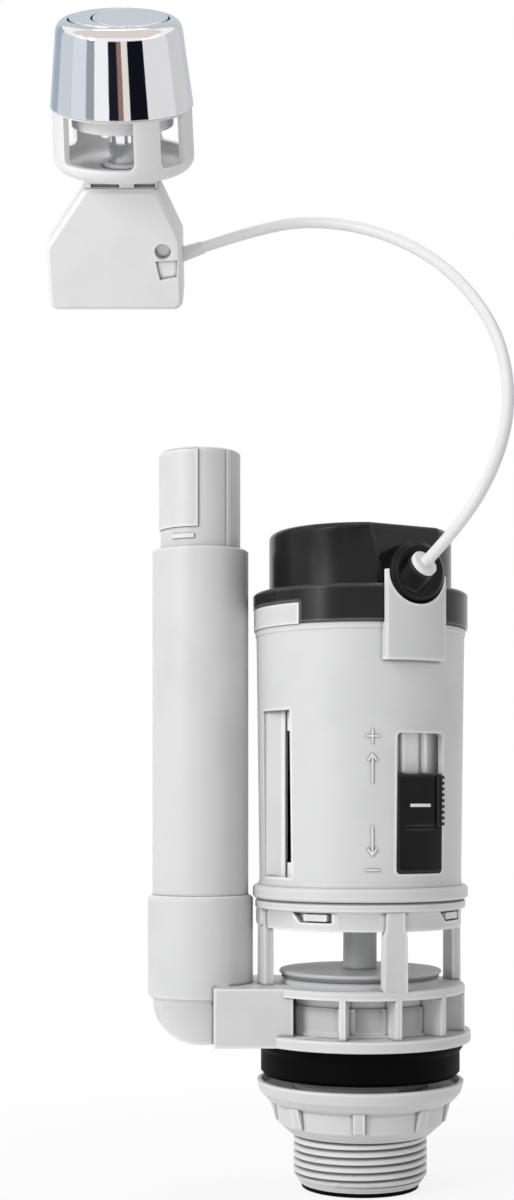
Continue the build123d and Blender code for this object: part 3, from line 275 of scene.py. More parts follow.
@dataclass(frozen=True)
class MouldedPlastic:
    """Injection-moulded plastic with a fine spark-eroded skin, a painted highlight on its outer edges
    and painted shade in its corners and creases.

    Attributes:
        name: the material's name.
        colour: the plastic's colour.
        tone: its colour where the flow marks lie.
        roughness: its middle roughness.
        skin: relief of the fine skin in millimetres.
        edge: radius of the moulded edges in millimetres.
        edge_highlight: colour of the painted highlight on its outer edges.
        shine: strength of its mirror-like part, 0.5 for plain plastic.
        highlight_reach: distance from an edge that the painted highlight reaches in millimetres.
        highlight_share: how fully an outer edge takes the painted highlight.
        seam_reach: distance from a corner or seam that the painted shade reaches in millimetres.
        seam_share: how fully the painted shade covers the colour.
        seam_shade: brightness of the painted shade as a share of the colour.
    """

    name: str
    colour: Colour
    tone: Colour
    roughness: float
    skin: float
    edge: float
    edge_highlight: Colour
    shine: float = 0.5
    highlight_reach: float = 1.2
    highlight_share: float = 0.7
    seam_reach: float = 1.5
    seam_share: float = 0.85
    seam_shade: float = 0.25

    def make(self) -> bpy.types.Material:
        """Writes the material.

        Returns:
            The finished material.
        """
        book = NodeBook.material(self.name)
        spot = book.place()
        flow = book.noise(spot, 0.045, 4.0)
        grain = book.noise(spot, 3.2, 2.0)
        normal = book.rounded(self.edge)
        # Painted highlight: outer edges, found by looking into the piece, are lightened towards a
        # paler colour and made a little glossier.
        painted_highlight = book.closeness(self.highlight_reach, True).band(0.04, 0.25) * self.highlight_share
        # Painted shade: corners, creases and joins where other surface lies close by are darkened.
        seam = book.closeness(self.seam_reach).band(0.08, 0.48) * self.seam_share
        painted_shade_colour = tuple(self.seam_shade * c for c in self.colour)
        base = book.mix(flow.band(0.42, 0.7), self.colour, self.tone)
        tint = book.mix(seam, book.mix(painted_highlight, base, self.edge_highlight), painted_shade_colour)
        gloss = self.roughness + (flow - 0.5) * 0.12 + (grain - 0.5) * 0.10 - painted_highlight * 0.06
        sockets = {
            "Base Color": tint,
            "Roughness": gloss,
            "Normal": book.bump(grain, self.skin, normal),
            "IOR": PLASTIC_IOR,
            "Specular IOR Level": self.shine,
        }
        return book.surface(book.add("ShaderNodeBsdfPrincipled", None, sockets))


@dataclass(frozen=True)
class Rubber:
    """Moulded rubber, matt with a dusting of bloom.

    Attributes:
        name: the material's name.
        colour: the rubber's colour.
        bloom: the colour of the pale bloom on it.
        roughness: its middle roughness.
        shine: strength of its mirror-like part, 0.5 for plain plastic.
        pore: depth of its pores in millimetres.
        edge: radius of its edges in millimetres.
    """

    name: str
    colour: Colour
    bloom: Colour
    roughness: float
    shine: float
    pore: float = 0.03
    edge: float = 0.4

    def make(self) -> bpy.types.Material:
        """Writes the material.

        Returns:
            The finished material.
        """
        book = NodeBook.material(self.name)
        spot = book.place()
        cloud = book.noise(spot, 0.12, 5.0)
        pores = book.noise(spot, 2.4, 3.0)
        tint = book.mix(cloud.band(0.5, 0.85) * 0.5, self.colour, self.bloom)
        sockets = {
            "Base Color": tint,
            "Roughness": self.roughness + (cloud - 0.5) * 0.25,
            "Normal": book.bump(pores, self.pore, book.rounded(self.edge)),
            "IOR": PLASTIC_IOR,
            "Specular IOR Level": self.shine,
        }
        return book.surface(book.add("ShaderNodeBsdfPrincipled", None, sockets))


@dataclass(frozen=True)
class PlatedMetal:
    """Bright plating or bare metal.

    Attributes:
        name: the material's name.
        colour: the metal's reflection colour.
        haze: its roughness where it is cleanest.
        smear: how much roughness handling adds.
        brushed: grains of its brushing in each millimetre, or 0 for a plain polish.
        wave: height of the polish's waves or the grain in millimetres.
        edge: radius of its edges in millimetres.
        dull: brightness of touched places as a share of the colour.
    """

    name: str
    colour: Colour
    haze: float
    smear: float
    brushed: float = 0.0
    wave: float = 0.02
    edge: float = 0.5
    dull: float = 0.9

    def make(self) -> bpy.types.Material:
        """Writes the material.

        Returns:
            The finished material.
        """
        book = NodeBook.material(self.name)
        spot = book.place()
        touch = book.noise(spot, 0.09, 4.0)
        if self.brushed:
            height = book.noise(spot * self.brushed, 1.0, 2.0)
        else:
            height = book.noise(spot, 0.16, 1.0)
        touched = tuple(self.dull * c for c in self.colour)
        sockets = {
            "Base Color": book.mix(touch.band(0.4, 0.8) * 0.25, self.colour, touched),
            "Metallic": 1.0,
            "Roughness": self.haze + touch.band(0.5, 0.8) * self.smear,
            "Normal": book.bump(height, self.wave, book.rounded(self.edge)),
        }
        return book.surface(book.add("ShaderNodeBsdfPrincipled", None, sockets))


@dataclass(frozen=True)
class CableSheath:
    """Extruded sheath with a faint drawn grain.

    Attributes:
        name: the material's name.
        colour: the sheath's colour.
        handled: its colour where it has been handled.
        roughness: its middle roughness.
        grain: depth of the drawn grain in millimetres.
    """

    name: str
    colour: Colour
    handled: Colour
    roughness: float
    grain: float = 0.002

    def make(self) -> bpy.types.Material:
        """Writes the material.

        Returns:
            The finished material.
        """
        book = NodeBook.material(self.name)
        spot = book.place()
        cloud = book.noise(spot, 0.05, 3.0)
        draw = book.noise(spot, 1.1, 2.0)
        sockets = {
            "Base Color": book.mix(cloud.band(0.5, 0.8) * 0.6, self.colour, self.handled),
            "Roughness": self.roughness + (draw - 0.5) * 0.12,
            "Normal": book.bump(draw, self.grain),
            "IOR": PLASTIC_IOR,
        }
        return book.surface(book.add("ShaderNodeBsdfPrincipled", None, sockets))


@dataclass(frozen=True)
class Palette:
    """Every finish on the valve."""

    white: MouldedPlastic = MouldedPlastic(
        "white_moulding",
        colour=(0.68, 0.682, 0.685),
        tone=(0.645, 0.648, 0.652),
        roughness=0.42,
        skin=0.02,
        edge=0.5,
        edge_highlight=(0.9, 0.9, 0.9),
        shine=0.35,
    )
    tube: MouldedPlastic = MouldedPlastic(
        "overflow_moulding",
        colour=(0.68, 0.68, 0.683),
        tone=(0.65, 0.65, 0.653),
        roughness=0.4,
        skin=0.015,
        edge=0.5,
        edge_highlight=(0.88, 0.88, 0.88),
        shine=0.35,
    )
    button_white: MouldedPlastic = MouldedPlastic(
        "button_moulding",
        colour=(0.82, 0.82, 0.822),
        tone=(0.79, 0.79, 0.795),
        roughness=0.42,
        skin=0.02,
        edge=0.6,
        edge_highlight=(0.9, 0.9, 0.9),
    )
    # The inner sleeve takes a much paler copy of the white plastic as painted light, so it stays light
    # in the shade behind the slider's window.
    sleeve: MouldedPlastic = MouldedPlastic(
        "sleeve_painted_light",
        colour=(0.95, 0.95, 0.95),
        tone=(0.93, 0.93, 0.932),
        roughness=0.42,
        skin=0.02,
        edge=0.4,
        edge_highlight=(0.96, 0.96, 0.96),
    )
    grey: MouldedPlastic = MouldedPlastic(
        "grey_moulding",
        colour=(0.50, 0.505, 0.51),
        tone=(0.47, 0.475, 0.48),
        roughness=0.45,
        skin=0.025,
        edge=0.4,
        edge_highlight=(0.6, 0.6, 0.605),
    )
    black: MouldedPlastic = MouldedPlastic(
        "black_moulding",
        colour=(0.006, 0.006, 0.007),
        tone=(0.009, 0.009, 0.010),
        roughness=0.22,
        skin=0.008,
        edge=0.7,
        edge_highlight=(0.16, 0.16, 0.165),
        shine=0.25,
    )
    jet: MouldedPlastic = MouldedPlastic(
        "jet_moulding",
        colour=(0.004, 0.004, 0.0045),
        tone=(0.006, 0.006, 0.0065),
        roughness=0.3,
        skin=0.01,
        edge=0.4,
        edge_highlight=(0.05, 0.05, 0.052),
        shine=0.12,
    )
    mark: MouldedPlastic = MouldedPlastic(
        "pointer_paint",
        colour=(0.82, 0.82, 0.82),
        tone=(0.76, 0.76, 0.76),
        roughness=0.5,
        skin=0.02,
        edge=0.15,
        edge_highlight=(0.88, 0.88, 0.88),
    )
    rubber: Rubber = Rubber(
        "black_rubber",
        colour=(0.0015, 0.0015, 0.002),
        bloom=(0.005, 0.005, 0.0055),
        roughness=0.55,
        shine=0.04,
    )
    seal: Rubber = Rubber(
        "seal_rubber",
        colour=(0.20, 0.205, 0.21),
        bloom=(0.30, 0.30, 0.31),
        roughness=0.6,
        shine=0.3,
    )
    chrome: PlatedMetal = PlatedMetal(
        "chrome_plate",
        colour=(0.86, 0.87, 0.89),
        haze=0.035,
        smear=0.05,
    )
    steel: PlatedMetal = PlatedMetal(
        "drawn_steel",
        colour=(0.56, 0.56, 0.57),
        haze=0.22,
        smear=0.15,
        brushed=1.5,
    )
    brass: PlatedMetal = PlatedMetal(
        "turned_brass",
        colour=(0.70, 0.52, 0.24),
        haze=0.24,
        smear=0.15,
        brushed=1.5,
    )
    sheath: CableSheath = CableSheath(
        "cable_sheath_white",
        colour=(0.78, 0.78, 0.785),
        handled=(0.74, 0.74, 0.75),
        roughness=0.42,
    )


Finish = Union[MouldedPlastic, Rubber, PlatedMetal, CableSheath]


class Wardrobe:
    """Makes each finish once and puts it on nodes."""

    def __init__(self, nodes: dict[str, bpy.types.Object]) -> None:
        """Holds the imported nodes by name."""
        self.nodes = nodes
        self.made: dict[str, bpy.types.Material] = {}

    def material(self, finish: Finish) -> bpy.types.Material:
        """Finds a finish's material, or makes it at its first use.

        Args:
            finish: the finish.

        Returns:
            Its material.
        """
        if finish.name not in self.made:
            self.made[finish.name] = finish.make()
        return self.made[finish.name]

    def wear(self, finish: Finish, names: Iterable[str]) -> None:
        """Puts one finish on several nodes.

        Args:
            finish: the finish to put on.
            names: the nodes that wear it.
        """
        for name in names:
            self.put(finish, self.nodes[name])
            LOG.info("%s wears %s", name, finish.name)

    def put(self, finish: Finish, thing: bpy.types.Object) -> None:
        """Puts one finish on one object."""
        thing.data.materials.clear()
        thing.data.materials.append(self.material(finish))


def new_mesh(name: str, bm: bmesh.types.BMesh, smooth: bool = True) -> bpy.types.Object:
    """Turns a bmesh into a linked object.

    Args:
        name: the object's name.
        bm: the mesh, freed here.
        smooth: whether its faces shade smoothly between sharp edges.

    Returns:
        The new object.
    """
    bmesh.ops.recalc_face_normals(bm, faces=bm.faces)
    mesh = bpy.data.meshes.new(name)
    bm.to_mesh(mesh)
    bm.free()
    if smooth:
        mesh.shade_smooth()
        mesh.set_sharp_from_angle(angle=math.radians(SHARP_ANGLE))
    thing = bpy.data.objects.new(name, mesh)
    bpy.context.scene.collection.objects.link(thing)
    return thing


def skin_rows(bm: bmesh.types.BMesh, rows: Sequence[Sequence[bmesh.types.BMVert]]) -> None:
    """Joins rows of corners into one closed solid.

    Args:
        bm: the mesh that holds the corners.
        rows: the rows, each of them once round the solid and all of one length.
    """
    count = len(rows[0])
    for first, second in zip(rows, rows[1:]):
        for i in range(count):
            j = (i + 1) % count
            bm.faces.new((first[i], first[j], second[j], second[i]))
    bm.faces.new(rows[0])
    bm.faces.new(rows[-1])


def drop(thing: bpy.types.Object) -> None:
    """Removes a helper object and its mesh.

    Args:
        thing: the helper.
    """
    mesh = thing.data
    bpy.data.objects.remove(thing)
    bpy.data.meshes.remove(mesh)


def apply_modifiers(thing: bpy.types.Object) -> None:
    """Puts an object's modifiers into its mesh.

    Args:
        thing: the object, which gets a new mesh.
    """
    view = bpy.context.evaluated_depsgraph_get()
    solved = thing.evaluated_get(view)
    mesh = bpy.data.meshes.new_from_object(solved, preserve_all_data_layers=True, depsgraph=view)
    thing.modifiers.clear()
    thing.data = mesh


@dataclass
class OutletFoot:
    """The base moulding with its threaded tail, the seals and the back nut.

    Attributes:
        crest: radius of the thread's crests in mm.
        pitch: rise of the thread in each turn in mm.
        depth: depth of its grooves in mm.
        low: height of the groove's lower end in mm.
        high: height of the groove's upper end in mm.
        steps: points of the groove in each turn.
        clear: how far the cutter stands out past the crests in mm.
        flanks: slopes of the groove's lower and upper flank in degrees.
        root_half: half the width of the groove's root in mm.
        runout: length of the thread's run-out in turns.
        runout_depth: share of the depth that is left where the run-out ends.
        weld: distance within which corners of the moulding are joined in mm.
        crease: angle from which its edges stay sharp in degrees.
    """

    crest: float = 23.9
    pitch: float = 2.66
    depth: float = 1.25
    low: float = -41.5
    high: float = -2.0
    steps: int = 48
    clear: float = 0.4
    flanks: tuple[float, float] = (38.0, 4.0)
    root_half: float = 0.16
    runout: float = 0.6
    runout_depth: float = 0.3
    weld: float = 0.002
    crease: float = 11.0

    def groove(self) -> bpy.types.Object:
        """Builds the helical groove as a closed solid.

        Returns:
            The groove, to be cut from the tail.
        """
        bm = bmesh.new()
        count = int((self.high - self.low) / self.pitch * self.steps)
        outer, root = self.crest + self.clear, self.crest - self.depth
        slopes = [math.tan(math.radians(angle)) for angle in self.flanks]
        under, over = ((outer - root) * slope + self.root_half for slope in slopes)
        section = [(outer, -under), (outer, over), (root, self.root_half), (root, -self.root_half)]
        rows: list[list[bmesh.types.BMVert]] = []
        for step in range(count + 1):
            turn = 2 * math.pi * step / self.steps
            rise = self.low + self.pitch * step / self.steps
            fade = min(1.0, (count - step) / (self.runout * self.steps))
            row = []
            for radius, offset in section:
                reach = outer + (radius - outer) * max(fade, self.runout_depth)
                corner = Vector((reach * math.cos(turn), reach * math.sin(turn), rise + offset))
                row.append(bm.verts.new(corner * MM))
            rows.append(row)
        skin_rows(bm, rows)
        return new_mesh("thread_groove", bm, smooth=False)

    def build(self, nodes: dict[str, bpy.types.Object]) -> bpy.types.Object:
        """Cuts the thread into a copy of the base moulding.

        Args:
            nodes: the imported nodes by name.

        Returns:
            The threaded base.
        """
        bm = bmesh.new()
        bm.from_mesh(nodes["valve_base"].data)
        # The cut needs a closed mesh, so corners that lie together are joined first.
        bmesh.ops.remove_doubles(bm, verts=bm.verts, dist=self.weld * MM)
        base = new_mesh("threaded_base", bm, smooth=False)
        cutter = self.groove()
        cut = base.modifiers.new("thread", "BOOLEAN")
        cut.operation = "DIFFERENCE"
        cut.solver = "EXACT"
        cut.object = cutter
        apply_modifiers(base)
        drop(cutter)
        base.data.shade_smooth()
        base.data.set_sharp_from_angle(angle=math.radians(self.crease))
        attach(base, Body.VALVE.value)
        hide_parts("valve_base")
        LOG.info("threaded_base has %d faces", len(base.data.polygons))
        return base

    def dress(self, wardrobe: Wardrobe, palette: Palette, base: bpy.types.Object) -> None:
        """Puts finishes on the foot.

        Args:
            wardrobe: maker of the finishes.
            palette: the finishes.
            base: the threaded base.
        """
        wardrobe.put(palette.white, base)
        wardrobe.wear(palette.white, ["valve_base", "back_nut"])
        wardrobe.wear(palette.rubber, ["cistern_seal", "outlet_ring"])


@dataclass
class Overflow:
    """The overflow: an outer tube with an inner tube that slides in it.

    Attributes:
        tube_nodes: the two tubes.
    """

    tube_nodes: Sequence[str] = ("overflow_outer_tube", "overflow_inner_tube")

    def dress(self, wardrobe: Wardrobe, palette: Palette) -> None:
        """Puts finishes on the overflow."""
        wardrobe.wear(palette.tube, self.tube_nodes)
        wardrobe.wear(palette.rubber, ["overflow_o_ring"])


@dataclass
class ValveBody:
    """The body shell with its raised setting marks, the slider and the works inside.

    Attributes:
        low: height and radius of the wall's lower end in mm.
        top: height and radius of its upper end in mm.
        azimuth: place of the setting marks round the wall in degrees from the front.
        proud: height of the marks above the wall in mm.
        sunk: depth of their feet in the wall in mm.
        line: width of their strokes in mm.
        up_arrow: heights of the upper arrow's tail and tip in mm.
        down_arrow: heights of the lower arrow's tail and tip in mm.
        plus_height: height of the plus sign's middle in mm.
        minus_height: height of the minus sign's middle in mm.
        sign: length of the signs' strokes in mm.
        barb: how far an arrow's barbs reach aside and back from its tip in mm.
        steps: pieces that a stroke is bent in, to follow the wall.
    """

    low: tuple[float, float] = (63.0, 36.1)
    top: tuple[float, float] = (158.5, 37.2)
    azimuth: float = 3.3
    proud: float = 0.45
    sunk: float = 0.25
    line: float = 0.8
    up_arrow: tuple[float, float] = (103.5, 113.5)
    down_arrow: tuple[float, float] = (89.0, 79.0)
    plus_height: float = 119.5
    minus_height: float = 74.0
    sign: float = 5.0
    barb: tuple[float, float] = (1.5, 2.4)
    steps: int = 6

    def wall(self, across: float, height: float, lift: float) -> Vector:
        """A point on the body's wall.

        Args:
            across: distance round the wall from the marks' middle line in mm.
            height: height in mm.
            lift: distance outside the wall in mm.

        Returns:
            The point in metres.
        """
        share = (height - self.low[0]) / (self.top[0] - self.low[0])
        radius = self.low[1] + share * (self.top[1] - self.low[1])
        angle = math.radians(self.azimuth) + across / radius
        radius += lift
        return Vector((radius * math.sin(angle), -radius * math.cos(angle), height)) * MM

    def stroke(
        self,
        bm: bmesh.types.BMesh,
        start: tuple[float, float],
        end: tuple[float, float],
    ) -> None:
        """Adds one raised stroke, domed across its width.

        Args:
            bm: the mesh to add to.
            start: the stroke's start, across and height in mm.
            end: the stroke's end, across and height in mm.
        """
        along = Vector((end[0] - start[0], end[1] - start[1]))
        along.normalize()
        side = Vector((-along.y, along.x)) * (self.line / 2)
        flank = [(1.0, -self.sunk), (0.85, self.proud * 0.8), (0.45, self.proud)]
        section = [(-aside, lift) for aside, lift in flank] + flank[::-1]
        rows = []
        for step in range(self.steps + 1):
            share = step / self.steps
            x = start[0] + (end[0] - start[0]) * share
            z = start[1] + (end[1] - start[1]) * share
            spots = [self.wall(x + side.x * k, z + side.y * k, lift) for k, lift in section]
            rows.append([bm.verts.new(spot) for spot in spots])
        skin_rows(bm, rows)

    def arrow(self, name: str, heights: tuple[float, float], sense: Sense) -> bpy.types.Object:
        """Builds one arrow with its two barbs.

        Args:
            name: the piece's name.
            heights: heights of its tail and tip in mm.
            sense: which way it points.

        Returns:
            The arrow.
        """
        tail, tip = heights
        aside, back = self.barb
        bm = bmesh.new()
        self.stroke(bm, (0.0, tail), (0.0, tip))
        for side in (-1, 1):
            self.stroke(bm, (side * aside, tip - back * sense.value), (0.0, tip))
        return new_mesh(name, bm)

    def build(self) -> list[bpy.types.Object]:
        """Builds the setting marks.

        Returns:
            The raised pieces.
        """
        marks = [
            self.arrow("more_arrow", self.up_arrow, Sense.UP),
            self.arrow("less_arrow", self.down_arrow, Sense.DOWN),
        ]
        half = self.sign / 2
        bm = bmesh.new()
        self.stroke(bm, (-half, self.plus_height), (half, self.plus_height))
        self.stroke(bm, (0.0, self.plus_height - half), (0.0, self.plus_height + half))
        marks.append(new_mesh("plus_sign", bm))
        bm = bmesh.new()
        self.stroke(bm, (-half, self.minus_height), (half, self.minus_height))
        marks.append(new_mesh("minus_sign", bm))
        for mark in marks:
            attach(mark, Body.VALVE.value)
            LOG.info("%s stands on the body", mark.name)
        return marks

    def dress(self, wardrobe: Wardrobe, palette: Palette, marks: Sequence[bpy.types.Object]) -> None:
        """Puts finishes on the body and what it holds.

        Args:
            wardrobe: maker of the finishes.
            palette: the finishes.
            marks: the raised setting marks.
        """
        for mark in marks:
            wardrobe.put(palette.white, mark)
        wardrobe.wear(palette.white, ["valve_body"])
        wardrobe.wear(palette.sleeve, ["inner_sleeve"])
        # The floats wear the black finish as painted shade, so the inside seen through the water
        # window stays dark.
        wardrobe.wear(palette.jet, ["volume_slider", "full_float", "half_float"])
        wardrobe.wear(palette.grey, ["lift_stem", "seal_disc", "seal_retainer"])
        wardrobe.wear(palette.seal, ["flush_seal"])


@dataclass
class SliderPointer:
    """The painted face of the slider's pointer bar.

    Attributes:
        azimuth: place of the bar round the body in degrees from the front.
        height: height of its middle in mm.
        out: distance of the bar's flat face from the valve's axis in mm.
        across: sideways place of its middle in mm.
        span: length of the paint in mm.
        thick: height of the paint in mm.
        coat: thickness of the paint in mm.
        sunk: depth of its foot in the bar in mm.
        inset: how far its rounded rim draws in at the top in mm.
    """

    azimuth: float = 32.3
    height: float = 96.0
    out: float = 36.8
    across: float = -1.0
    span: float = 8.6
    thick: float = 1.1
    coat: float = 0.12
    sunk: float = 0.1
    inset: float = 0.12

    def build(self) -> bpy.types.Object:
        """Builds the coat of paint.

        Returns:
            The painted face.
        """
        angle = math.radians(self.azimuth)
        ahead = Vector((math.sin(angle), -math.cos(angle), 0.0))
        side = Vector((math.cos(angle), math.sin(angle), 0.0))
        bm = bmesh.new()
        rings = []
        for lift, inset in ((-self.sunk, 0.0), (0.6 * self.coat, 0.0), (self.coat, self.inset)):
            ring = []
            for i, j in CORNERS:
                spot = ahead * (self.out + lift) + side * (self.across + i * (self.span / 2 - inset))
                spot.z = self.height + j * (self.thick / 2 - inset)
                ring.append(bm.verts.new(spot * MM))
            rings.append(ring)
        skin_rows(bm, rings)
        pointer = new_mesh("pointer_face", bm)
        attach(pointer, Body.SLIDER.value)
        LOG.info("pointer_face rides on the slider")
        return pointer

    def dress(self, wardrobe: Wardrobe, palette: Palette, pointer: bpy.types.Object) -> None:
        """Paints the pointer."""
        wardrobe.put(palette.mark, pointer)


@dataclass
class Cap:
    """The cap with its lever and the socket that takes the cable.

    Attributes:
        black_nodes: the glossy black mouldings.
        sheath_nodes: the cable's solid and its two end pieces.
    """

    black_nodes: Sequence[str] = ("top_cap", "lift_lever")
    sheath_nodes: Sequence[str] = ("cable_collar", "cable_sheath", "box_ferrule")

    def dress(self, wardrobe: Wardrobe, palette: Palette) -> None:
        """Puts finishes on the cap.

        Args:
            wardrobe: maker of the finishes.
            palette: the finishes.
        """
        wardrobe.wear(palette.black, self.black_nodes)
        wardrobe.wear(palette.jet, ["cable_socket"])
        wardrobe.wear(palette.sheath, self.sheath_nodes)
        wardrobe.wear(palette.steel, ["lift_lever_pin"])
        wardrobe.wear(palette.brass, ["lift_nipple"])


@dataclass
class ButtonHead:
    """The push button: chromed bezel and buttons, cage and lever box.

    Attributes:
        chrome_nodes: the plated pieces.
        white_nodes: the white mouldings.
    """

    chrome_nodes: Sequence[str] = ("bezel", "full_button", "half_button", "plunger", "half_rod")
    white_nodes: Sequence[str] = ("button_cage", "box_front", "box_rear", "plunger_guide")

    def dress(self, wardrobe: Wardrobe, palette: Palette) -> None:
        """Puts finishes on the button head.

        Args:
            wardrobe: maker of the finishes.
            palette: the finishes.
        """
        wardrobe.wear(palette.chrome, self.chrome_nodes)
        wardrobe.wear(palette.button_white, self.white_nodes)
        wardrobe.wear(palette.grey, ["full_lever", "half_lever"])
        wardrobe.wear(palette.steel, ["box_pin", "lever_spring"])
        wardrobe.wear(palette.brass, ["box_nipple"])


@dataclass
class PullCable:
    """The sheathed pull cable from the lever box to the cap.

    Attributes:
        diameter: outside diameter in mm.
        length: length along its line in mm.
        route: the points that its line is drawn towards, in mm.
    """

    diameter: float = 4.0
    length: float = 243.0
    route: Sequence[Point] = (
        (-57.31, 28.44, 305.19),
        (-39.3, 25.08, 310.2),
        (-17.5, 22.0, 313.4),
        (8.4, 12.0, 306.2),
        (30.9, -4.0, 288.7),
        (45.2, -27.0, 261.2),
        (47.8, -46.0, 234.0),
        (43.0, -55.0, 211.2),
        (31.48, -55.41, 189.61),
        (19.73, -41.0, 177.86),
    )

    def build(self) -> bpy.types.Object:
        """Builds the cable as one smooth curve.

        Returns:
            The cable.
        """
        curve = bpy.data.curves.new("pull_cable", "CURVE")
        curve.dimensions = "3D"
        # Each point's radius scales this depth, so the radius alone sets the sheath's size.
        curve.bevel_depth = 1.0
        curve.bevel_resolution = 5
        curve.resolution_u = 14
        curve.use_fill_caps = True
        spline = curve.splines.new("NURBS")
        spline.points.add(len(self.route) - 1)
        for point, (x, y, z) in zip(spline.points, self.route):
            point.co = (x * MM, y * MM, z * MM, 1.0)
            point.radius = self.diameter / 2 * MM
        spline.order_u = 3
        spline.use_endpoint_u = True
        cable = bpy.data.objects.new("pull_cable", curve)
        bpy.context.scene.collection.objects.link(cable)
        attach(cable, Body.VALVE.value)
        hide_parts("cable_sheath")
        LOG.info("pull_cable runs %.0f mm", self.length)
        return cable

    def dress(self, wardrobe: Wardrobe, palette: Palette, cable: bpy.types.Object) -> None:
        """Puts the sheath's finish on the cable."""
        wardrobe.put(palette.sheath, cable)


@dataclass
class Lamp:
    """One soft studio lamp.

    Attributes:
        name: the lamp's name.
        place: where it stands, in metres.
        size: width and height in metres.
        power: its power in watts.
        target: what it points at, in metres.
    """

    name: str
    place: Point
    size: tuple[float, float]
    power: float
    target: Point = (-0.03, 0.0, 0.15)

    def build(self) -> None:
        """Hangs the lamp."""
        light = bpy.data.lights.new(self.name, "AREA")
        light.shape = "RECTANGLE"
        light.size, light.size_y = self.size
        light.energy = self.power
        lamp = bpy.data.objects.new(self.name, light)
        lamp.location = self.place
        lamp.rotation_mode = "QUATERNION"
        sight = Vector(self.target) - Vector(self.place)
        lamp.rotation_quaternion = sight.to_track_quat("-Z", "Y")
        bpy.context.scene.collection.objects.link(lamp)


@dataclass(frozen=True)
class Card:
    """A glowing studio card that only reflections see.

    Attributes:
        name: the card's name.
        colour: its colour.
    """

    name: str
    colour: Colour

    def glow(self) -> bpy.types.Material:
        """Writes the card's even glow.

        Returns:
            The card's material.
        """
        book = NodeBook.material(self.name)
        light = book.add("ShaderNodeEmission", None, {"Color": self.colour, "Strength": 1.0})
        return book.surface(light)

    def hang(self, bm: bmesh.types.BMesh) -> None:
        """Hangs the card where only reflections see it.

        Args:
            bm: the card's mesh.
        """
        card = new_mesh(self.name, bm, smooth=False)
        card.data.materials.append(self.glow())
        card.visible_camera = card.visible_diffuse = card.visible_shadow = False
        card.visible_transmission = card.visible_volume_scatter = False


@dataclass
class ButtonSurround:
    """Cards round the push button that give its chrome dark and light to mirror.

    Attributes:
        middle: where the button's axis meets the lid, in mm.
        lean: direction of the button's axis.
        radius: distance of the upright cards from the axis in mm.
        facet: width of an upright card's flat stretches in degrees.
        first: where the first upright card starts, in degrees from the front.
        strips: each upright card's end in degrees from the front, its low and high end along the
            axis in mm, and its colour. It starts where the one before it ends.
        boards: each flat card's middle in mm, its width and height in mm, and its colour.
    """

    middle: Point = (-85.5, 0.0, 347.6)
    lean: Point = (0.0, -0.557, 0.8305)
    radius: float = 195.0
    facet: float = 4.0
    first: float = -180.0
    strips: Sequence[tuple[float, float, float, Colour]] = (
        (-139.5, -82.0, 308.0, (0.56, 0.61, 0.67)),
        (-115.0, -67.0, 98.0, (0.40, 0.47, 0.55)),
        (-80.0, -67.0, 90.0, (0.66, 0.70, 0.74)),
        (-52.5, -52.0, 83.0, (0.74, 0.80, 0.86)),
        (-38.5, -48.0, 75.0, (0.36, 0.37, 0.40)),
        (-15.5, -48.0, 75.0, WHITE),
        (-1.5, -48.0, 71.0, (0.012, 0.014, 0.022)),
        (6.0, -48.0, 71.0, (0.30, 0.19, 0.16)),
        (16.0, -48.0, 71.0, (0.86, 0.80, 0.74)),
        (43.0, -48.0, 71.0, (0.006, 0.007, 0.012)),
        (93.5, -42.0, 83.0, (0.82, 0.81, 0.81)),
        (133.5, -67.0, 98.0, (0.68, 0.67, 0.67)),
        (180.0, -82.0, 308.0, (0.60, 0.62, 0.65)),
    )
    boards: Sequence[tuple[Point, float, float, Colour]] = (
        ((-96.0, 91.5, 475.7), 170.0, 150.0, (0.60, 0.65, 0.70)),
        ((-96.0, -150.0, 480.0), 560.0, 250.0, (0.80, 0.72, 0.66)),
    )

    def strip(self, start: float, end: float, low: float, high: float) -> bmesh.types.BMesh:
        """Bends one upright card round the button's axis.

        Args:
            start: where it starts, in degrees from the front.
            end: where it ends, in degrees from the front.
            low: its lower end along the axis in mm.
            high: its upper end along the axis in mm.

        Returns:
            The card's mesh.
        """
        up = Vector(self.lean).normalized()
        right = Vector((1.0, 0.0, 0.0))
        ahead = right.cross(up)
        bm = bmesh.new()
        count = max(2, int((end - start) / self.facet))
        rows = []
        for step in range(count + 1):
            angle = math.radians(start + (end - start) * step / count)
            way = ahead * math.cos(angle) + right * math.sin(angle)
            foot = Vector(self.middle) + way * self.radius
            rows.append([bm.verts.new((foot + up * rise) * MM) for rise in (low, high)])
        for left, other in zip(rows, rows[1:]):
            bm.faces.new((left[0], other[0], other[1], left[1]))
        return bm

    def board(self, place: Point, width: float, height: float) -> bmesh.types.BMesh:
        """Cuts one flat card that faces the button.

        Args:
            place: its middle in mm.
            width: its width in mm.
            height: its height in mm.

        Returns:
            The card's mesh.
        """
        right = Vector((1.0, 0.0, 0.0))
        back = (Vector(place) - Vector(self.middle)).normalized()
        rise = back.cross(right).normalized()
        bm = bmesh.new()
        spots = [Vector(place) + right * (i * width / 2) + rise * (j * height / 2) for i, j in CORNERS]
        bm.faces.new([bm.verts.new(spot * MM) for spot in spots])
        return bm

    def build(self) -> None:
        """Hangs every card."""
        start = self.first
        for number, (end, low, high, colour) in enumerate(self.strips):
            Card(f"mirror_strip_{number}", colour).hang(self.strip(start, end, low, high))
            start = end
        for number, (place, width, height, colour) in enumerate(self.boards):
            Card(f"mirror_board_{number}", colour).hang(self.board(place, width, height))
        LOG.info("%d cards stand round the button", len(self.strips) + len(self.boards))


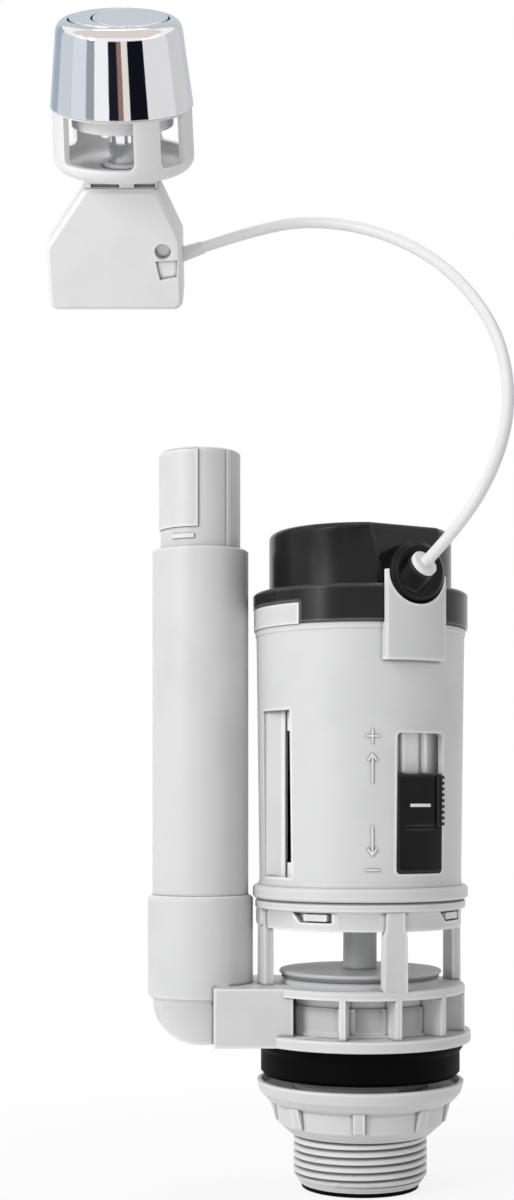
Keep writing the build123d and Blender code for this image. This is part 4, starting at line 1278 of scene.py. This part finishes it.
@dataclass
class Studio:
    """A pale floor, soft lamps, a white world and the camera.

    Attributes:
        floor_height: height of the floor in mm.
        floor_half: half the floor's side in mm.
        paper: colour of the floor.
        shadow: share of the floor's own shade that shows beside the part.
        shadow_reach: distances from the outlet's axis where that share starts and ends to fade, in mm.
        eye: place of the camera in mm.
        focal: the lens's focal length in mm.
        rise: upward shift of the frame as a share of its long side.
        sky: strength of the world's light.
        lamps: the soft lamps.
    """

    floor_height: float = -40.7
    floor_half: float = 4000.0
    paper: Colour = (0.92, 0.92, 0.92)
    shadow: float = 0.16
    shadow_reach: tuple[float, float] = (90.0, 330.0)
    eye: Point = (-37.0, -637.0, 97.8)
    focal: float = 53.2
    rise: float = 0.1667
    sky: float = 0.42
    lamps: list[Lamp] = field(
        default_factory=lambda: [
            Lamp("key_lamp", (-1.4, -1.1, 0.9), (0.9, 0.9), 17.0),
            Lamp("fill_lamp", (1.2, -0.9, 0.6), (0.8, 1.2), 1.5),
            Lamp("top_lamp", (-0.1, 0.3, 1.5), (0.8, 0.8), 6.0),
            Lamp("strip_lamp", (-1.0, -0.95, 0.32), (0.22, 0.9), 1.8),
        ]
    )

    def world(self) -> None:
        """Makes the world: even light, and plain white wherever it is seen or mirrored."""
        book = NodeBook(bpy.data.worlds.new("studio_white"))
        dim = book.add("ShaderNodeBackground", None, {"Color": WHITE, "Strength": self.sky})
        bright = book.add("ShaderNodeBackground", None, {"Color": WHITE, "Strength": 1.0})
        mixed = book.add("ShaderNodeMixShader", None, {0: book.shown(), 1: dim, 2: bright})
        bpy.context.scene.world = book.surface(mixed)

    def floor(self) -> bpy.types.Object:
        """Lays the pale floor.

        Returns:
            The floor.
        """
        bm = bmesh.new()
        half = self.floor_half
        spots = [Vector((i * half, j * half, self.floor_height)) for i, j in CORNERS]
        bm.faces.new([bm.verts.new(spot * MM) for spot in spots])
        floor = new_mesh("studio_floor", bm, smooth=False)
        book = NodeBook.material("floor_white")
        spot = book.place()
        cloud = book.noise(spot, 0.004, 2.0)
        sockets = {"Base Color": self.paper, "Roughness": 0.9 + (cloud - 0.5) * 0.05}
        paper = book.add("ShaderNodeBsdfPrincipled", None, sockets)
        glow = book.add("ShaderNodeEmission", None, {"Color": WHITE, "Strength": 1.0})
        reach = book.add("ShaderNodeVectorMath", {"operation": "LENGTH"}, {0: spot}, "Value")
        white = book.shown() * (1.0 - self.shadow + reach.band(*self.shadow_reach) * self.shadow)
        mixed = book.add("ShaderNodeMixShader", None, {0: white, 1: paper, 2: glow})
        floor.data.materials.append(book.surface(mixed))
        return floor

    def camera(self) -> None:
        """Sets the camera where the picture was taken from."""
        lens = bpy.data.cameras.new("studio_camera")
        lens.lens = self.focal
        lens.sensor_width = 36.0
        lens.shift_y = self.rise
        lens.clip_start, lens.clip_end = 0.01, 50.0
        camera = bpy.data.objects.new("studio_camera", lens)
        camera.location = Vector(self.eye) * MM
        camera.rotation_euler = (math.radians(90.0), 0.0, 0.0)
        bpy.context.scene.collection.objects.link(camera)
        bpy.context.scene.camera = camera

    def build(self) -> None:
        """Sets up the whole studio."""
        bpy.context.scene.view_settings.view_transform = "Standard"
        self.world()
        self.floor()
        for lamp in self.lamps:
            lamp.build()
        self.camera()
        LOG.info("studio is set")


def clear_scene() -> None:
    """Empties the starting scene."""
    for thing in list(bpy.data.objects):
        bpy.data.objects.remove(thing)


def main() -> None:
    """Builds and dresses every sub-assembly, then sets up the studio."""
    logging.basicConfig(level=logging.INFO, format="%(name)s: %(message)s")
    clear_scene()
    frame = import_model()
    nodes = frame["nodes"]
    palette = Palette()
    wardrobe = Wardrobe(nodes)

    foot = OutletFoot()
    foot.dress(wardrobe, palette, foot.build(nodes))
    Overflow().dress(wardrobe, palette)
    shell = ValveBody()
    shell.dress(wardrobe, palette, shell.build())
    pointer = SliderPointer()
    pointer.dress(wardrobe, palette, pointer.build())
    Cap().dress(wardrobe, palette)
    ButtonHead().dress(wardrobe, palette)
    cable = PullCable()
    cable.dress(wardrobe, palette, cable.build())
    Studio().build()
    ButtonSurround().build()

    bpy.context.view_layer.update()


if __name__ == "__main__":
    main()
